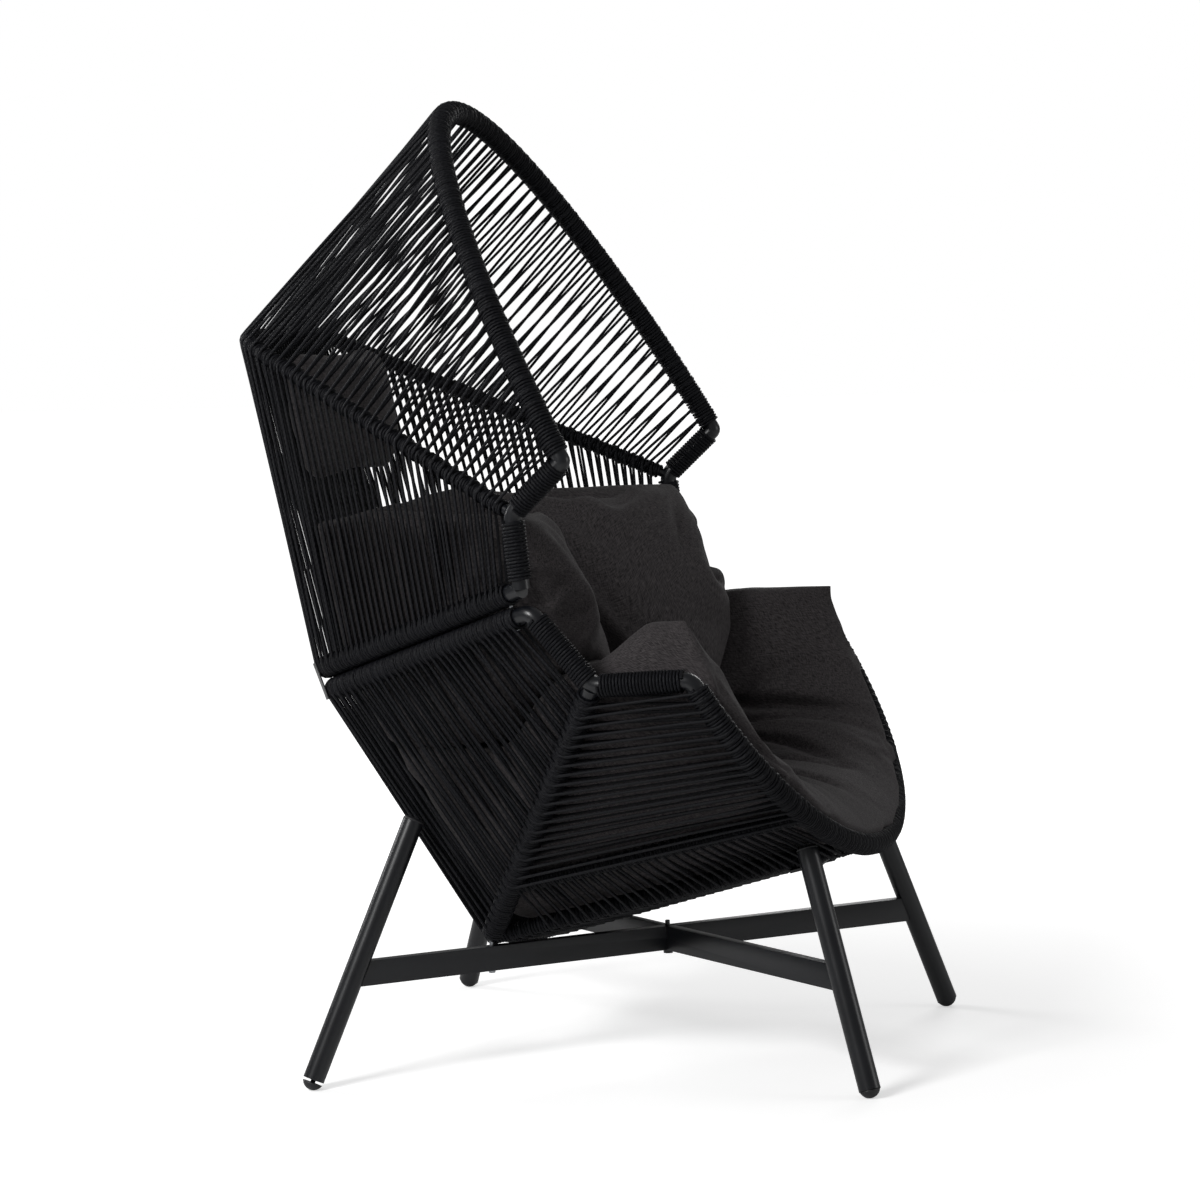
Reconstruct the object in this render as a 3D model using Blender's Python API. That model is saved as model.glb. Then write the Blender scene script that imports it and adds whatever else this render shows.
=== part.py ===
"""Garden lounge chair: a cord-wound seat shell and hood, bolted on a crossed bar base.

Metres, +Z up. The origin is on the floor under the middle of the chair, the chair faces -Y and
its frame is symmetric about X = 0. Right and left are the sitter's own, so right is -X. Depths
are given from the crossing of the two base bars, and the finished chair is moved to its middle.
"""

import math

import bpy
import bmesh
from mathutils import Matrix, Vector


# The crossing of the base bars lies this far in front of the middle of the chair's depth
origin_depth = 0.1205

# Fits
fit_gap = 0.0003
weld_distance = 0.00003
cut_overrun = 0.004
least_cord_gap = 0.0004

# How far a panel's cords lie off the round of their rails, less than zero where a rail's flats drop more
cord_lift = 0.0008
side_cord_lift = -0.0006
back_cord_lift = -0.0001

# Cord and the tubes that it is wound on
cord_diameter = 0.005
heavy_tube_diameter = 0.028
light_tube_diameter = 0.016
heavy_tube_radius = heavy_tube_diameter / 2
light_tube_radius = light_tube_diameter / 2
heavy_wound_radius = heavy_tube_radius + cord_diameter
light_wound_radius = light_tube_radius + cord_diameter
bare_corner_length = 0.012
steep_joint_angle = math.radians(60)

# Base: two bars that cross under the seat, and four splayed legs
bar_angle = math.radians(49)
bar_height = 0.040
bar_thickness = 0.018
notch_reach = 0.027
bar_top_height = 0.1985
leg_diameter = 0.035
leg_wall = 0.0015
leg_end_thickness = 0.004
back_foot_past_arm = 0.148
front_foot_past_arm = 0.046
back_leg_lean_share = 0.469
front_leg_lean_share = 0.405
back_leg_below_arm = 0.242
front_leg_below_arm = 0.286

# Plug in the top of each leg
plug_rim_thickness = 0.002
plug_dome_height = 0.004
plug_spigot_length = 0.018
plug_spigot_wall = 0.0025
plug_dome_shares = (0.81, 0.71)

# Levelling glide in the foot of each leg
glide_radius = 0.0165
glide_dome_height = 0.012
glide_flat_depth = 0.0005
glide_stem_diameter = 0.008
glide_stem_length = 0.030
glide_travel = 0.010
glide_screwed_out = 0.0045

# Bolts
centre_bolt_diameter = 0.008
centre_bolt_head_diameter = 0.016
centre_bolt_head_height = 0.006
centre_bolt_end_length = 0.009
small_bolt_diameter = 0.006
small_bolt_head_diameter = 0.011
small_bolt_head_height = 0.004
rear_bolt_grip = 0.008
hood_bolt_grip = 0.009
hood_bolt_from_corner = 0.034

# Seat shell: the half widths, depths and heights of its corner points
arm_half_width = 0.490
arm_back_height = 0.657
arm_front_rise = 0.008
arm_front_height = arm_back_height + arm_front_rise
ring_front_depth = 0.077
ring_front_rise = 0.112
ring_front_height = arm_back_height + ring_front_rise
ring_fall_share = 0.360
ring_back_depth = 0.488
ring_back_half_width = 0.262
ring_corner_radius = 0.080
arm_back_depth = -0.018
arm_front_depth = -0.172
rim_drop = 0.371
rim_lean = math.radians(31.8)
rim_overlap = 0.004
keel_back_clearance = 0.0008
rear_corner_half_width = 0.210
rear_corner_depth = 0.243
rear_bow_drop = 0.036
rear_bow_start = 0.165
bottom_rail_front_half_width = 0.200
bottom_rail_below_rim = 0.009
fold_rail_on_strut_share = 0.79
fold_rail_rim_angle = math.radians(46)
back_foot_reach = arm_half_width + back_foot_past_arm
front_foot_reach = arm_half_width + front_foot_past_arm
back_leg_top_height = arm_back_height - back_leg_below_arm
front_leg_top_height = arm_back_height - front_leg_below_arm

# Hood
ring_spacing = 2 * heavy_wound_radius + 0.0008
post_top_inset = 0.002
post_top_half_width = arm_half_width - post_top_inset
post_top_depth = 0.102
post_top_rise = 0.152
post_top_height = ring_front_height + post_top_rise
hood_foot_outset = 0.005
hood_foot_half_width = arm_half_width + hood_foot_outset
hood_foot_depth = 0.018
hood_foot_rise = 0.079
hood_foot_height = post_top_height + hood_foot_rise
hood_height = 0.633
hood_lean = math.radians(28.95)
hood_shape_power = 1.5
belt_rise_share = 0.500
belt_back_depth = 0.645
belt_back_half_width = 0.195
belt_corner_radius = 0.100

# Joining plates behind the two rings
plate_width = 0.020
plate_thickness = 0.002
plate_overlap = 0.012

# Brackets between the front legs and the bottom rails
bracket_length = 0.055
bracket_thickness = 0.005
bracket_back_share = 0.835
bracket_past_rail = 0.010

# Counts
tube_resolution = 2
sleeve_resolution = 3
corner_steps = 5
rim_steps = 16
hood_steps = 20
round_sides = 16
small_round_sides = 10
arm_winding_loops = 18
arm_winding_points = 6
dome_steps = 6
pillow_steps = 8
seat_pad_steps_across = 22
seat_pad_steps_along = 8

# Cord panels: how many cords each one shows
hood_half_cords = 24
hood_side_cords = 18
hood_back_cords = 10
seat_side_back_cords = 16
seat_back_cords = 8
seat_side_front_cords = 14
seat_bottom_cords = 15

# Where each panel's cords start and end, as shares of the rail's length
hood_top_arch_shares = (0.035, 0.492)
hood_top_belt_shares = (0.035, 0.490)
hood_side_belt_shares = (0.045, 0.360)
hood_side_ring_shares = (0.040, 0.300)
hood_back_belt_shares = (0.400, 0.600)
hood_back_ring_shares = (0.365, 0.635)
seat_side_ring_shares = (0.040, 0.300)
seat_side_strut_shares = (0.070, 0.940)
seat_front_strut_shares = (0.080, 0.740)
seat_front_rim_shares = (0.090, 0.900)
seat_back_rear_shares = (0.090, 0.910)
seat_bottom_fold_shares = (0.090, 0.860)
seat_bottom_rail_shares = (0.110, 0.800)
seat_bottom_keel_shares = (0.110, 0.820)

# Seat cushion
seat_pad_front_thickness = 0.135
seat_pad_back_thickness = 0.270
seat_pad_wing_thickness = 0.085
seat_pad_edge = 0.020
seat_pad_clearance = 0.004
seat_pad_settling = 0.01143
seat_pad_front_reach = 0.036
seat_pad_right_wing_reach = 0.012
seat_pad_left_wing_reach = 0.085
seat_pad_back_gap = 0.100
seat_pad_wing_rise = 0.103
seat_pad_wing_height = arm_front_height + seat_pad_wing_rise
seat_pad_left_wing_drop = 0.022
seat_pad_back_wing_height = 0.430
seat_pad_wing_fall_start = 0.060
seat_pad_wing_fall_end = 0.420
seat_pad_wing_lean = 0.012
seat_pad_wing_reach_power = 6
seat_pad_wing_thinning_power = 1.5
seat_pad_smoothing_share = 1 / 16
crown_power = 4
centre_line_share = 0.000001

# Back pillows and head pillow
pillow_side_room = 0.065
pillow_width = arm_half_width - pillow_side_room
pillow_height = 0.480
pillow_thickness = 0.180
pillow_edge = 0.016
pillow_side_draw_share = 0.05
pillow_outer_lift = 0.200
pillow_outer_drop = 0.030
left_pillow_inset = 0.0262
right_pillow_inset = 0.0139
left_pillow_centre_depth = 0.090
right_pillow_centre_depth = 0.1500
left_pillow_below_wing = 0.0577
right_pillow_below_wing = 0.0573
pillow_lean = math.radians(25)
pillow_toe_in = math.radians(26)
head_pillow_width = 0.360
head_pillow_height = 0.215
head_pillow_thickness = 0.160
head_pillow_before_belt = 0.1042
head_pillow_rise = 0.063
head_pillow_lean = math.radians(9)

# Colours, roughness and metal share of each finish
finish_list = {
    "painted_frame": ((0.012, 0.012, 0.014), 0.42, 0.0),
    "black_cord": ((0.010, 0.010, 0.012), 0.72, 0.0),
    "charcoal_fabric": ((0.022, 0.021, 0.022), 0.95, 0.0),
    "black_plastic": ((0.010, 0.010, 0.011), 0.48, 0.0),
    "bolt_steel": ((0.420, 0.420, 0.430), 0.32, 1.0),
}

inside_point = Vector((0, ring_front_depth, ring_front_height))
finishes = {}


def clear_scene():
    """Remove every object that the scene already holds."""
    for scene_object in list(bpy.data.objects):
        bpy.data.objects.remove(scene_object)


def make_finishes():
    """Make one plain material for each finish."""
    for name, (colour, roughness, metal_share) in finish_list.items():
        finish = bpy.data.materials.new(name)
        finish.use_nodes = True
        shader = finish.node_tree.nodes["Principled BSDF"]
        shader.inputs["Base Color"].default_value = (*colour, 1)
        shader.inputs["Roughness"].default_value = roughness
        shader.inputs["Metallic"].default_value = metal_share
        finishes[name] = finish


def add_object(name, mesh, finish, smooth=True):
    """Link a mesh as a named sub-part that wears one finish."""
    part = bpy.data.objects.new(name, mesh)
    bpy.context.collection.objects.link(part)
    mesh.materials.clear()
    mesh.materials.append(finishes[finish])
    for face in mesh.polygons:
        face.use_smooth = smooth
    return part


def cut(part, cutter_mesh, matrix=None):
    """Take the shape of a cutter out of a part."""
    cutter = bpy.data.objects.new(part.name + "_cutter", cutter_mesh)
    bpy.context.collection.objects.link(cutter)
    cutter.matrix_world = matrix or Matrix.Identity(4)
    cutter.hide_render = True
    cutter.display_type = "WIRE"
    step = part.modifiers.new("cut", "BOOLEAN")
    step.operation = "DIFFERENCE"
    step.object = cutter


def mirrored(point):
    """Give the point on the other side of the chair."""
    return Vector((-point.x, point.y, point.z))


def tube_mesh(points, radius, resolution=tube_resolution, closed_ends=True):
    """Sweep a round section along points and give the mesh."""
    curve = bpy.data.curves.new("route", "CURVE")
    curve.dimensions = "3D"
    curve.bevel_depth = radius
    curve.bevel_resolution = resolution
    curve.use_fill_caps = closed_ends
    spline = curve.splines.new("POLY")
    spline.points.add(len(points) - 1)
    for spline_point, point in zip(spline.points, points):
        spline_point.co = (*point, 1)
    route = bpy.data.objects.new("route", curve)
    bpy.context.collection.objects.link(route)
    mesh = bpy.data.meshes.new_from_object(route)
    bpy.data.objects.remove(route)
    return mesh


def faced_outward(mesh, flip=False):
    """Weld the mesh's seams and turn its faces outward."""
    shape = bmesh.new()
    shape.from_mesh(mesh)
    bmesh.ops.remove_doubles(shape, verts=shape.verts, dist=weld_distance)
    bmesh.ops.recalc_face_normals(shape, faces=shape.faces)
    if flip:
        bmesh.ops.reverse_faces(shape, faces=shape.faces)
    shape.to_mesh(mesh)
    shape.free()
    return mesh


def add_tube(name, points, radius, finish="painted_frame", resolution=tube_resolution):
    """Add a solid tube that follows points."""
    return add_object(name, faced_outward(tube_mesh(points, radius, resolution)), finish)


def add_sleeve(name, points, wound_radius):
    """Add the close layer of cord turns round a tube, as a hollow sleeve."""
    sides = 4 + 2 * sleeve_resolution
    flat_radius = wound_radius * math.cos(math.pi / sides)
    mesh = tube_mesh(points, wound_radius, sleeve_resolution, closed_ends=False)
    first_face = mesh.polygons[0]
    nearest = min(points, key=lambda point: (point - first_face.center).length)
    along = (points[1] - points[0]).normalized()
    outward = first_face.center - nearest
    outward -= along * outward.dot(along)
    if first_face.normal.dot(outward) < 0:
        mesh.flip_normals()
    part = add_object(name, mesh, "black_cord")
    layer = part.modifiers.new("layer", "SOLIDIFY")
    layer.thickness = flat_radius - (wound_radius - cord_diameter) - fit_gap
    layer.offset = -1
    layer.use_even_offset = True
    return part


def lathe_mesh(profile, sides=round_sides):
    """Turn a closed profile of (radius, height) points about Z."""
    shape = bmesh.new()
    verts = [shape.verts.new((radius, 0, height)) for radius, height in profile]
    edges = [shape.edges.new((verts[i], verts[(i + 1) % len(verts)])) for i in range(len(verts))]
    bmesh.ops.spin(
        shape, geom=verts + edges, cent=(0, 0, 0), axis=(0, 0, 1),
        angle=math.tau, steps=sides, use_merge=True,
    )
    mesh = bpy.data.meshes.new("turned")
    shape.to_mesh(mesh)
    shape.free()
    return faced_outward(mesh)


def cylinder_mesh(radius, bottom, top, sides=round_sides):
    """Make a closed cylinder on Z between two heights."""
    shape = bmesh.new()
    bmesh.ops.create_cone(
        shape, cap_ends=True, segments=sides, radius1=radius, radius2=radius, depth=top - bottom,
        matrix=Matrix.Translation((0, 0, (top + bottom) / 2)),
    )
    mesh = bpy.data.meshes.new("cylinder")
    shape.to_mesh(mesh)
    shape.free()
    return mesh


def box_mesh(low, high):
    """Make a box between two corners."""
    low = Vector(low)
    high = Vector(high)
    shape = bmesh.new()
    bmesh.ops.create_cube(shape, size=1)
    bmesh.ops.scale(shape, vec=high - low, verts=shape.verts)
    bmesh.ops.translate(shape, vec=(high + low) / 2, verts=shape.verts)
    mesh = bpy.data.meshes.new("box")
    shape.to_mesh(mesh)
    shape.free()
    return mesh


def frame_at(place, z_axis, x_hint=Vector((1, 0, 0))):
    """Give the matrix that sets local Z along z_axis at a place."""
    z_axis = z_axis.normalized()
    y_axis = z_axis.cross(x_hint).normalized()
    x_axis = y_axis.cross(z_axis)
    turn = Matrix((x_axis, y_axis, z_axis)).transposed().to_4x4()
    return Matrix.Translation(place) @ turn


# Routes of the frame tubes

def run_lengths(points):
    """Give the length covered up to each point of a route."""
    lengths = [0]
    for start, end in zip(points, points[1:]):
        lengths.append(lengths[-1] + (end - start).length)
    return lengths


def along_route(points, distance):
    """Give the place and direction at a distance along a route."""
    lengths = run_lengths(points)
    index = 0
    while index < len(points) - 2 and lengths[index + 1] < distance:
        index += 1
    step = points[index + 1] - points[index]
    place = points[index] + step.normalized() * (distance - lengths[index])
    return place, step.normalized()


def part_of_route(points, start, end):
    """Give the stretch of a route between two distances from its start."""
    lengths = run_lengths(points)
    inner = [point for point, length in zip(points, lengths) if start < length < end]
    return [along_route(points, start)[0], *inner, along_route(points, end)[0]]


def trimmed(points, from_start, from_end):
    """Take a length off each end of a route."""
    return part_of_route(points, from_start, run_lengths(points)[-1] - from_end)


def butt_length(carrier_radius, own_radius, angle):
    """Give how far from the carrier's axis a square-ended tube stops clear of it."""
    reach = carrier_radius + fit_gap + own_radius * abs(math.cos(angle))
    return reach / math.sin(angle)


def rounded_u(front, back_half_width, back_depth, rise_share, corner_radius):
    """Give a route from the right front end round a straight back to the left front end."""
    corner = Vector((-back_half_width, back_depth, 0))
    side = Vector((front.x, front.y, 0)) - corner
    side_way = side.normalized()
    back_way = Vector((1, 0, 0))
    half_angle = side_way.angle(back_way) / 2
    tangent_length = corner_radius / math.tan(half_angle)
    centre = corner + (side_way + back_way).normalized() * corner_radius / math.sin(half_angle)
    start_arm = corner + side_way * tangent_length - centre
    turn = math.pi - 2 * half_angle
    half = [Vector((front.x, front.y, 0))]
    for step in range(corner_steps + 1):
        half.append(centre + Matrix.Rotation(-turn * step / corner_steps, 3, "Z") @ start_arm)
    route = half + [mirrored(point) for point in reversed(half)]
    for point in route:
        point.z = front.z + rise_share * (point.y - front.y)
    return route


def seat_ring_route():
    """Route of the seat shell's top ring, from the right front corner to the left one."""
    front = Vector((-arm_half_width, ring_front_depth, ring_front_height))
    return rounded_u(front, ring_back_half_width, ring_back_depth, -ring_fall_share, ring_corner_radius)


def ring_normal():
    """Direction square to the plane of the two rings."""
    return Vector((0, ring_fall_share, 1)).normalized()


def hood_ring_route():
    """Route of the hood's bottom ring, which lies on the seat shell's ring."""
    return [point + ring_normal() * ring_spacing for point in seat_ring_route()]


def arm_points(side):
    """Corner points of one armrest: ring corner, back of the arm, front of the arm."""
    x = side * arm_half_width
    return [
        Vector((x, ring_front_depth, ring_front_height)),
        Vector((x, arm_back_depth, arm_back_height)),
        Vector((x, arm_front_depth, arm_front_height)),
    ]


def rim_point(angle):
    """Point of the front rim, 0 at the right arm and pi at the left one."""
    drop = rim_drop * math.sin(angle)
    return Vector((
        -arm_half_width * math.cos(angle),
        arm_front_depth - drop * math.sin(rim_lean),
        arm_front_height - drop * math.cos(rim_lean),
    ))


def rim_route(start_angle=0, end_angle=math.pi):
    """Route of the front rim between two angles."""
    steps = max(2, round(rim_steps * (end_angle - start_angle) / math.pi))
    return [rim_point(start_angle + (end_angle - start_angle) * i / steps) for i in range(steps + 1)]


def hood_point(angle):
    """Point of the hood's front arch, 0 at the right foot and pi at the left one."""
    height = hood_height * math.sin(angle) ** (2 / hood_shape_power)
    return Vector((
        -hood_foot_half_width * math.cos(angle),
        hood_foot_depth + height * math.sin(hood_lean),
        hood_foot_height + height * math.cos(hood_lean),
    ))


def hood_route():
    """Route of the hood's front arch, with its points spread evenly by angle."""
    return [hood_point(math.pi * i / hood_steps) for i in range(hood_steps + 1)]


def post_points(side):
    """Foot, elbow and top of one hood post."""
    foot = hood_ring_route()[0 if side < 0 else -1]
    return [
        foot,
        Vector((side * post_top_half_width, post_top_depth, post_top_height)),
        Vector((side * hood_foot_half_width, hood_foot_depth, hood_foot_height)),
    ]


def belt_route():
    """Route of the belt tube round the hood, from the right elbow to the left one."""
    front = post_points(-1)[1]
    return rounded_u(front, belt_back_half_width, belt_back_depth, belt_rise_share, belt_corner_radius)


def rear_corner(side):
    """Rear bottom corner of the seat shell, which rests on a base bar."""
    height = bar_top_height + light_wound_radius + fit_gap
    return Vector((side * rear_corner_half_width, rear_corner_depth, height))


def rear_bow_point():
    """Lowest point of the rear cross tube, in the middle of the chair."""
    return rear_corner(1) * 0.5 + rear_corner(-1) * 0.5 - Vector((0, 0, rear_bow_drop))


def bottom_rail_front(side):
    """Point where a bottom rail would reach the middle of the front rim's tube."""
    angle = math.acos(bottom_rail_front_half_width / arm_half_width)
    place = rim_point(angle)
    place.x = side * abs(place.x)
    place.z -= bottom_rail_below_rim
    return place


def strut_route(side):
    """Route of a side strut, from the back of the arm to the rear bottom corner."""
    return [arm_points(side)[1], rear_corner(side)]


def fold_rail_route(side):
    """Route of a fold rail, from the side strut to the front rim."""
    top, bottom = strut_route(side)
    front = rim_point(fold_rail_rim_angle)
    front.x = side * abs(front.x)
    return [top.lerp(bottom, fold_rail_on_strut_share), front]


def keel_route():
    """Route of the keel, from the middle of the rear cross tube to the bottom of the rim."""
    return [rear_bow_point(), rim_point(math.pi / 2)]


def bottom_tube_route():
    """Route of the bottom tube: right rail, bowed rear cross tube, left rail."""
    right = [bottom_rail_front(-1), rear_corner(-1)]
    bow_start = rear_corner(-1)
    bow_start.x = -rear_bow_start
    left = [mirrored(point) for point in reversed(right)]
    return [*right, bow_start, rear_bow_point(), mirrored(bow_start), *left]


# Base

leg_table = {
    "front_right": (-1, -1, front_foot_reach, front_leg_lean_share, front_leg_top_height, 0),
    "front_left": (1, -1, front_foot_reach, front_leg_lean_share, front_leg_top_height, 0),
    "back_right": (-1, 1, back_foot_reach, back_leg_lean_share, back_leg_top_height, glide_screwed_out),
    "back_left": (1, 1, back_foot_reach, back_leg_lean_share, back_leg_top_height, 0),
}


def glide_sphere_radius():
    """Radius of the ball that the glide's dome is a cap of."""
    return (glide_radius ** 2 + glide_dome_height ** 2) / (2 * glide_dome_height)


def leg_axis(leg):
    """Give the centre of a foot's ball and the direction up the leg."""
    side, depth_side, reach, lean_share, top_height, screwed_out = leg_table[leg]
    outward = Vector((side * math.cos(bar_angle), depth_side * math.sin(bar_angle), 0))
    centre = outward * reach
    centre.z = glide_sphere_radius() - glide_flat_depth
    return centre, (Vector((0, 0, 1)) - outward * lean_share).normalized()


def leg_end_distance(leg):
    """Distance up the leg's axis from the foot's ball to the end of the leg tube."""
    dome_base = glide_dome_height - glide_sphere_radius()
    return dome_base + leg_table[leg][5] + fit_gap


def leg_length(leg):
    """Length of a leg tube, up to its plug."""
    centre, up = leg_axis(leg)
    return (leg_table[leg][4] - centre.z) / up.z - leg_end_distance(leg)


def make_leg(leg):
    """Leg tube with a threaded end disc at its foot."""
    centre, up = leg_axis(leg)
    outer = leg_diameter / 2
    inner = outer - leg_wall
    hole = glide_stem_diameter / 2 + fit_gap
    length = leg_length(leg)
    profile = [
        (hole, 0), (outer, 0), (outer, length), (inner, length),
        (inner, leg_end_thickness), (hole, leg_end_thickness),
    ]
    part = add_object("leg_" + leg, lathe_mesh(profile), "painted_frame")
    part.matrix_world = frame_at(centre + up * leg_end_distance(leg), up)
    return part


def make_leg_plug(leg):
    """Domed plug pressed into the top of a leg."""
    centre, up = leg_axis(leg)
    outer = leg_diameter / 2
    spigot = outer - leg_wall - fit_gap
    inner = spigot - plug_spigot_wall
    shoulder = (outer * plug_dome_shares[0], plug_rim_thickness + plug_dome_height * plug_dome_shares[1])
    profile = [
        (0, plug_rim_thickness), (inner, 0), (inner, -plug_spigot_length),
        (spigot, -plug_spigot_length), (spigot, 0), (outer, 0), (outer, plug_rim_thickness),
        shoulder, (0, plug_rim_thickness + plug_dome_height),
    ]
    part = add_object("leg_plug_" + leg, lathe_mesh(profile), "black_plastic")
    seat = leg_end_distance(leg) + leg_length(leg) + fit_gap
    part.matrix_world = frame_at(centre + up * seat, up)


def make_glide(leg):
    """Domed foot on a threaded stem, cut flat where it stands on the floor."""
    centre, up = leg_axis(leg)
    ball = glide_sphere_radius()
    base_height = glide_dome_height - ball
    stem = glide_stem_diameter / 2
    stem_top = base_height + glide_stem_length
    profile = [(0, stem_top), (stem, stem_top), (stem, base_height)]
    edge_angle = math.asin(glide_radius / ball)
    for step in range(dome_steps + 1):
        angle = edge_angle * (1 - step / dome_steps)
        profile.append((ball * math.sin(angle), -ball * math.cos(angle)))
    mesh = lathe_mesh(profile)
    place = frame_at(centre, up)
    floor = place.inverted()
    shape = bmesh.new()
    shape.from_mesh(mesh)
    cut_away = bmesh.ops.bisect_plane(
        shape, geom=shape.verts[:] + shape.edges[:] + shape.faces[:],
        plane_co=floor.to_translation(), plane_no=floor.to_3x3() @ Vector((0, 0, 1)),
        clear_inner=True,
    )
    rim = [item for item in cut_away["geom_cut"] if isinstance(item, bmesh.types.BMEdge)]
    bmesh.ops.edgeloop_fill(shape, edges=rim)
    shape.to_mesh(mesh)
    shape.free()
    part = add_object("levelling_glide_" + leg, faced_outward(mesh), "black_plastic")
    part.matrix_world = place


def bar_direction(side):
    """Direction of the bar that runs from the given front side to the other back side."""
    return Vector((side * math.cos(bar_angle), -math.sin(bar_angle), 0))


def make_bars():
    """Two flat bars, halved into each other where they cross and coped to the legs."""
    for name, side, keeps_top in (("base_bar_lower", -1, False), ("base_bar_upper", 1, True)):
        way = bar_direction(side)
        front = "front_right" if side < 0 else "front_left"
        back = "back_left" if side < 0 else "back_right"
        middle = bar_top_height - bar_height / 2
        ends = []
        for leg in (front, back):
            centre, up = leg_axis(leg)
            place = centre + up * ((middle - centre.z) / up.z)
            ends.append(place.xy.length)
        half = bar_thickness / 2
        bottom_height = bar_top_height - bar_height
        low = (-ends[1], -half, bottom_height)
        mesh = box_mesh(low, (ends[0], half, bar_top_height))
        part = add_object(name, mesh, "painted_frame", smooth=False)
        part.rotation_euler.z = math.atan2(way.y, way.x)
        for leg in (front, back):
            centre, up = leg_axis(leg)
            cut(part, cylinder_mesh(leg_diameter / 2 + fit_gap, 0, leg_length(leg)), frame_at(centre, up))
        other_turn = math.atan2(bar_direction(-side).y, bar_direction(-side).x)
        notch_half = half + fit_gap
        cut_bottom = bottom_height - cut_overrun
        cut_top = bar_top_height + cut_overrun
        notch_bottom = cut_bottom if keeps_top else middle - fit_gap / 2
        notch_top = middle + fit_gap / 2 if keeps_top else cut_top
        notch = box_mesh((-notch_reach, -notch_half, notch_bottom), (notch_reach, notch_half, notch_top))
        cut(part, notch, Matrix.Rotation(other_turn, 4, "Z"))
        hole = centre_bolt_diameter / 2 + fit_gap
        cut(part, cylinder_mesh(hole, cut_bottom, cut_top, small_round_sides))
        corner = rear_corner(-side)
        hole = small_bolt_diameter / 2 + fit_gap
        drill = cylinder_mesh(hole, cut_bottom, cut_top, small_round_sides)
        cut(part, drill, Matrix.Translation((corner.x, corner.y, 0)))


def bolt_mesh(diameter, head_diameter, head_height, length):
    """Bolt that points up from its head, with the seat of the head at zero height."""
    shank = diameter / 2
    head = head_diameter / 2
    profile = [(0, length), (shank, length), (shank, 0), (head, 0), (head, -head_height), (0, -head_height)]
    return lathe_mesh(profile, small_round_sides)


def make_bolts():
    """Centre bolt, the two bolts up into the rear corners and the two hood bolts."""
    bar_bottom = bar_top_height - bar_height - fit_gap
    length = bar_height + centre_bolt_end_length
    mesh = bolt_mesh(centre_bolt_diameter, centre_bolt_head_diameter, centre_bolt_head_height, length)
    part = add_object("centre_bolt", mesh, "painted_frame")
    part.location = (0, 0, bar_bottom)
    for side, name in ((-1, "right"), (1, "left")):
        corner = rear_corner(side)
        length = bar_height + rear_bolt_grip
        mesh = bolt_mesh(small_bolt_diameter, small_bolt_head_diameter, small_bolt_head_height, length)
        part = add_object("rear_shell_bolt_" + name, mesh, "bolt_steel")
        part.location = (corner.x, corner.y, bar_bottom)
        place = hood_bolt_place(side)
        length = heavy_tube_radius + ring_spacing + hood_bolt_grip / 2
        mesh = bolt_mesh(small_bolt_diameter, small_bolt_head_diameter, small_bolt_head_height, length)
        part = add_object("hood_bolt_" + name, mesh, "bolt_steel")
        part.matrix_world = place


def hood_bolt_place(side):
    """Matrix of a hood bolt: its head is seated under the seat ring, its axis square to it."""
    place, way = along_route(seat_ring_route(), hood_bolt_from_corner)
    if side > 0:
        place = mirrored(place)
    seat = place - ring_normal() * (heavy_tube_radius + fit_gap)
    return frame_at(seat, ring_normal())


# Seat shell and hood frames

def drill_hood_bolts(part):
    """Drill both hood bolts' holes in a ring tube."""
    hole = small_bolt_diameter / 2 + fit_gap
    reach = heavy_tube_radius + ring_spacing + hood_bolt_grip
    for side in (-1, 1):
        cut(part, cylinder_mesh(hole, -cut_overrun, reach, small_round_sides), hood_bolt_place(side))


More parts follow.
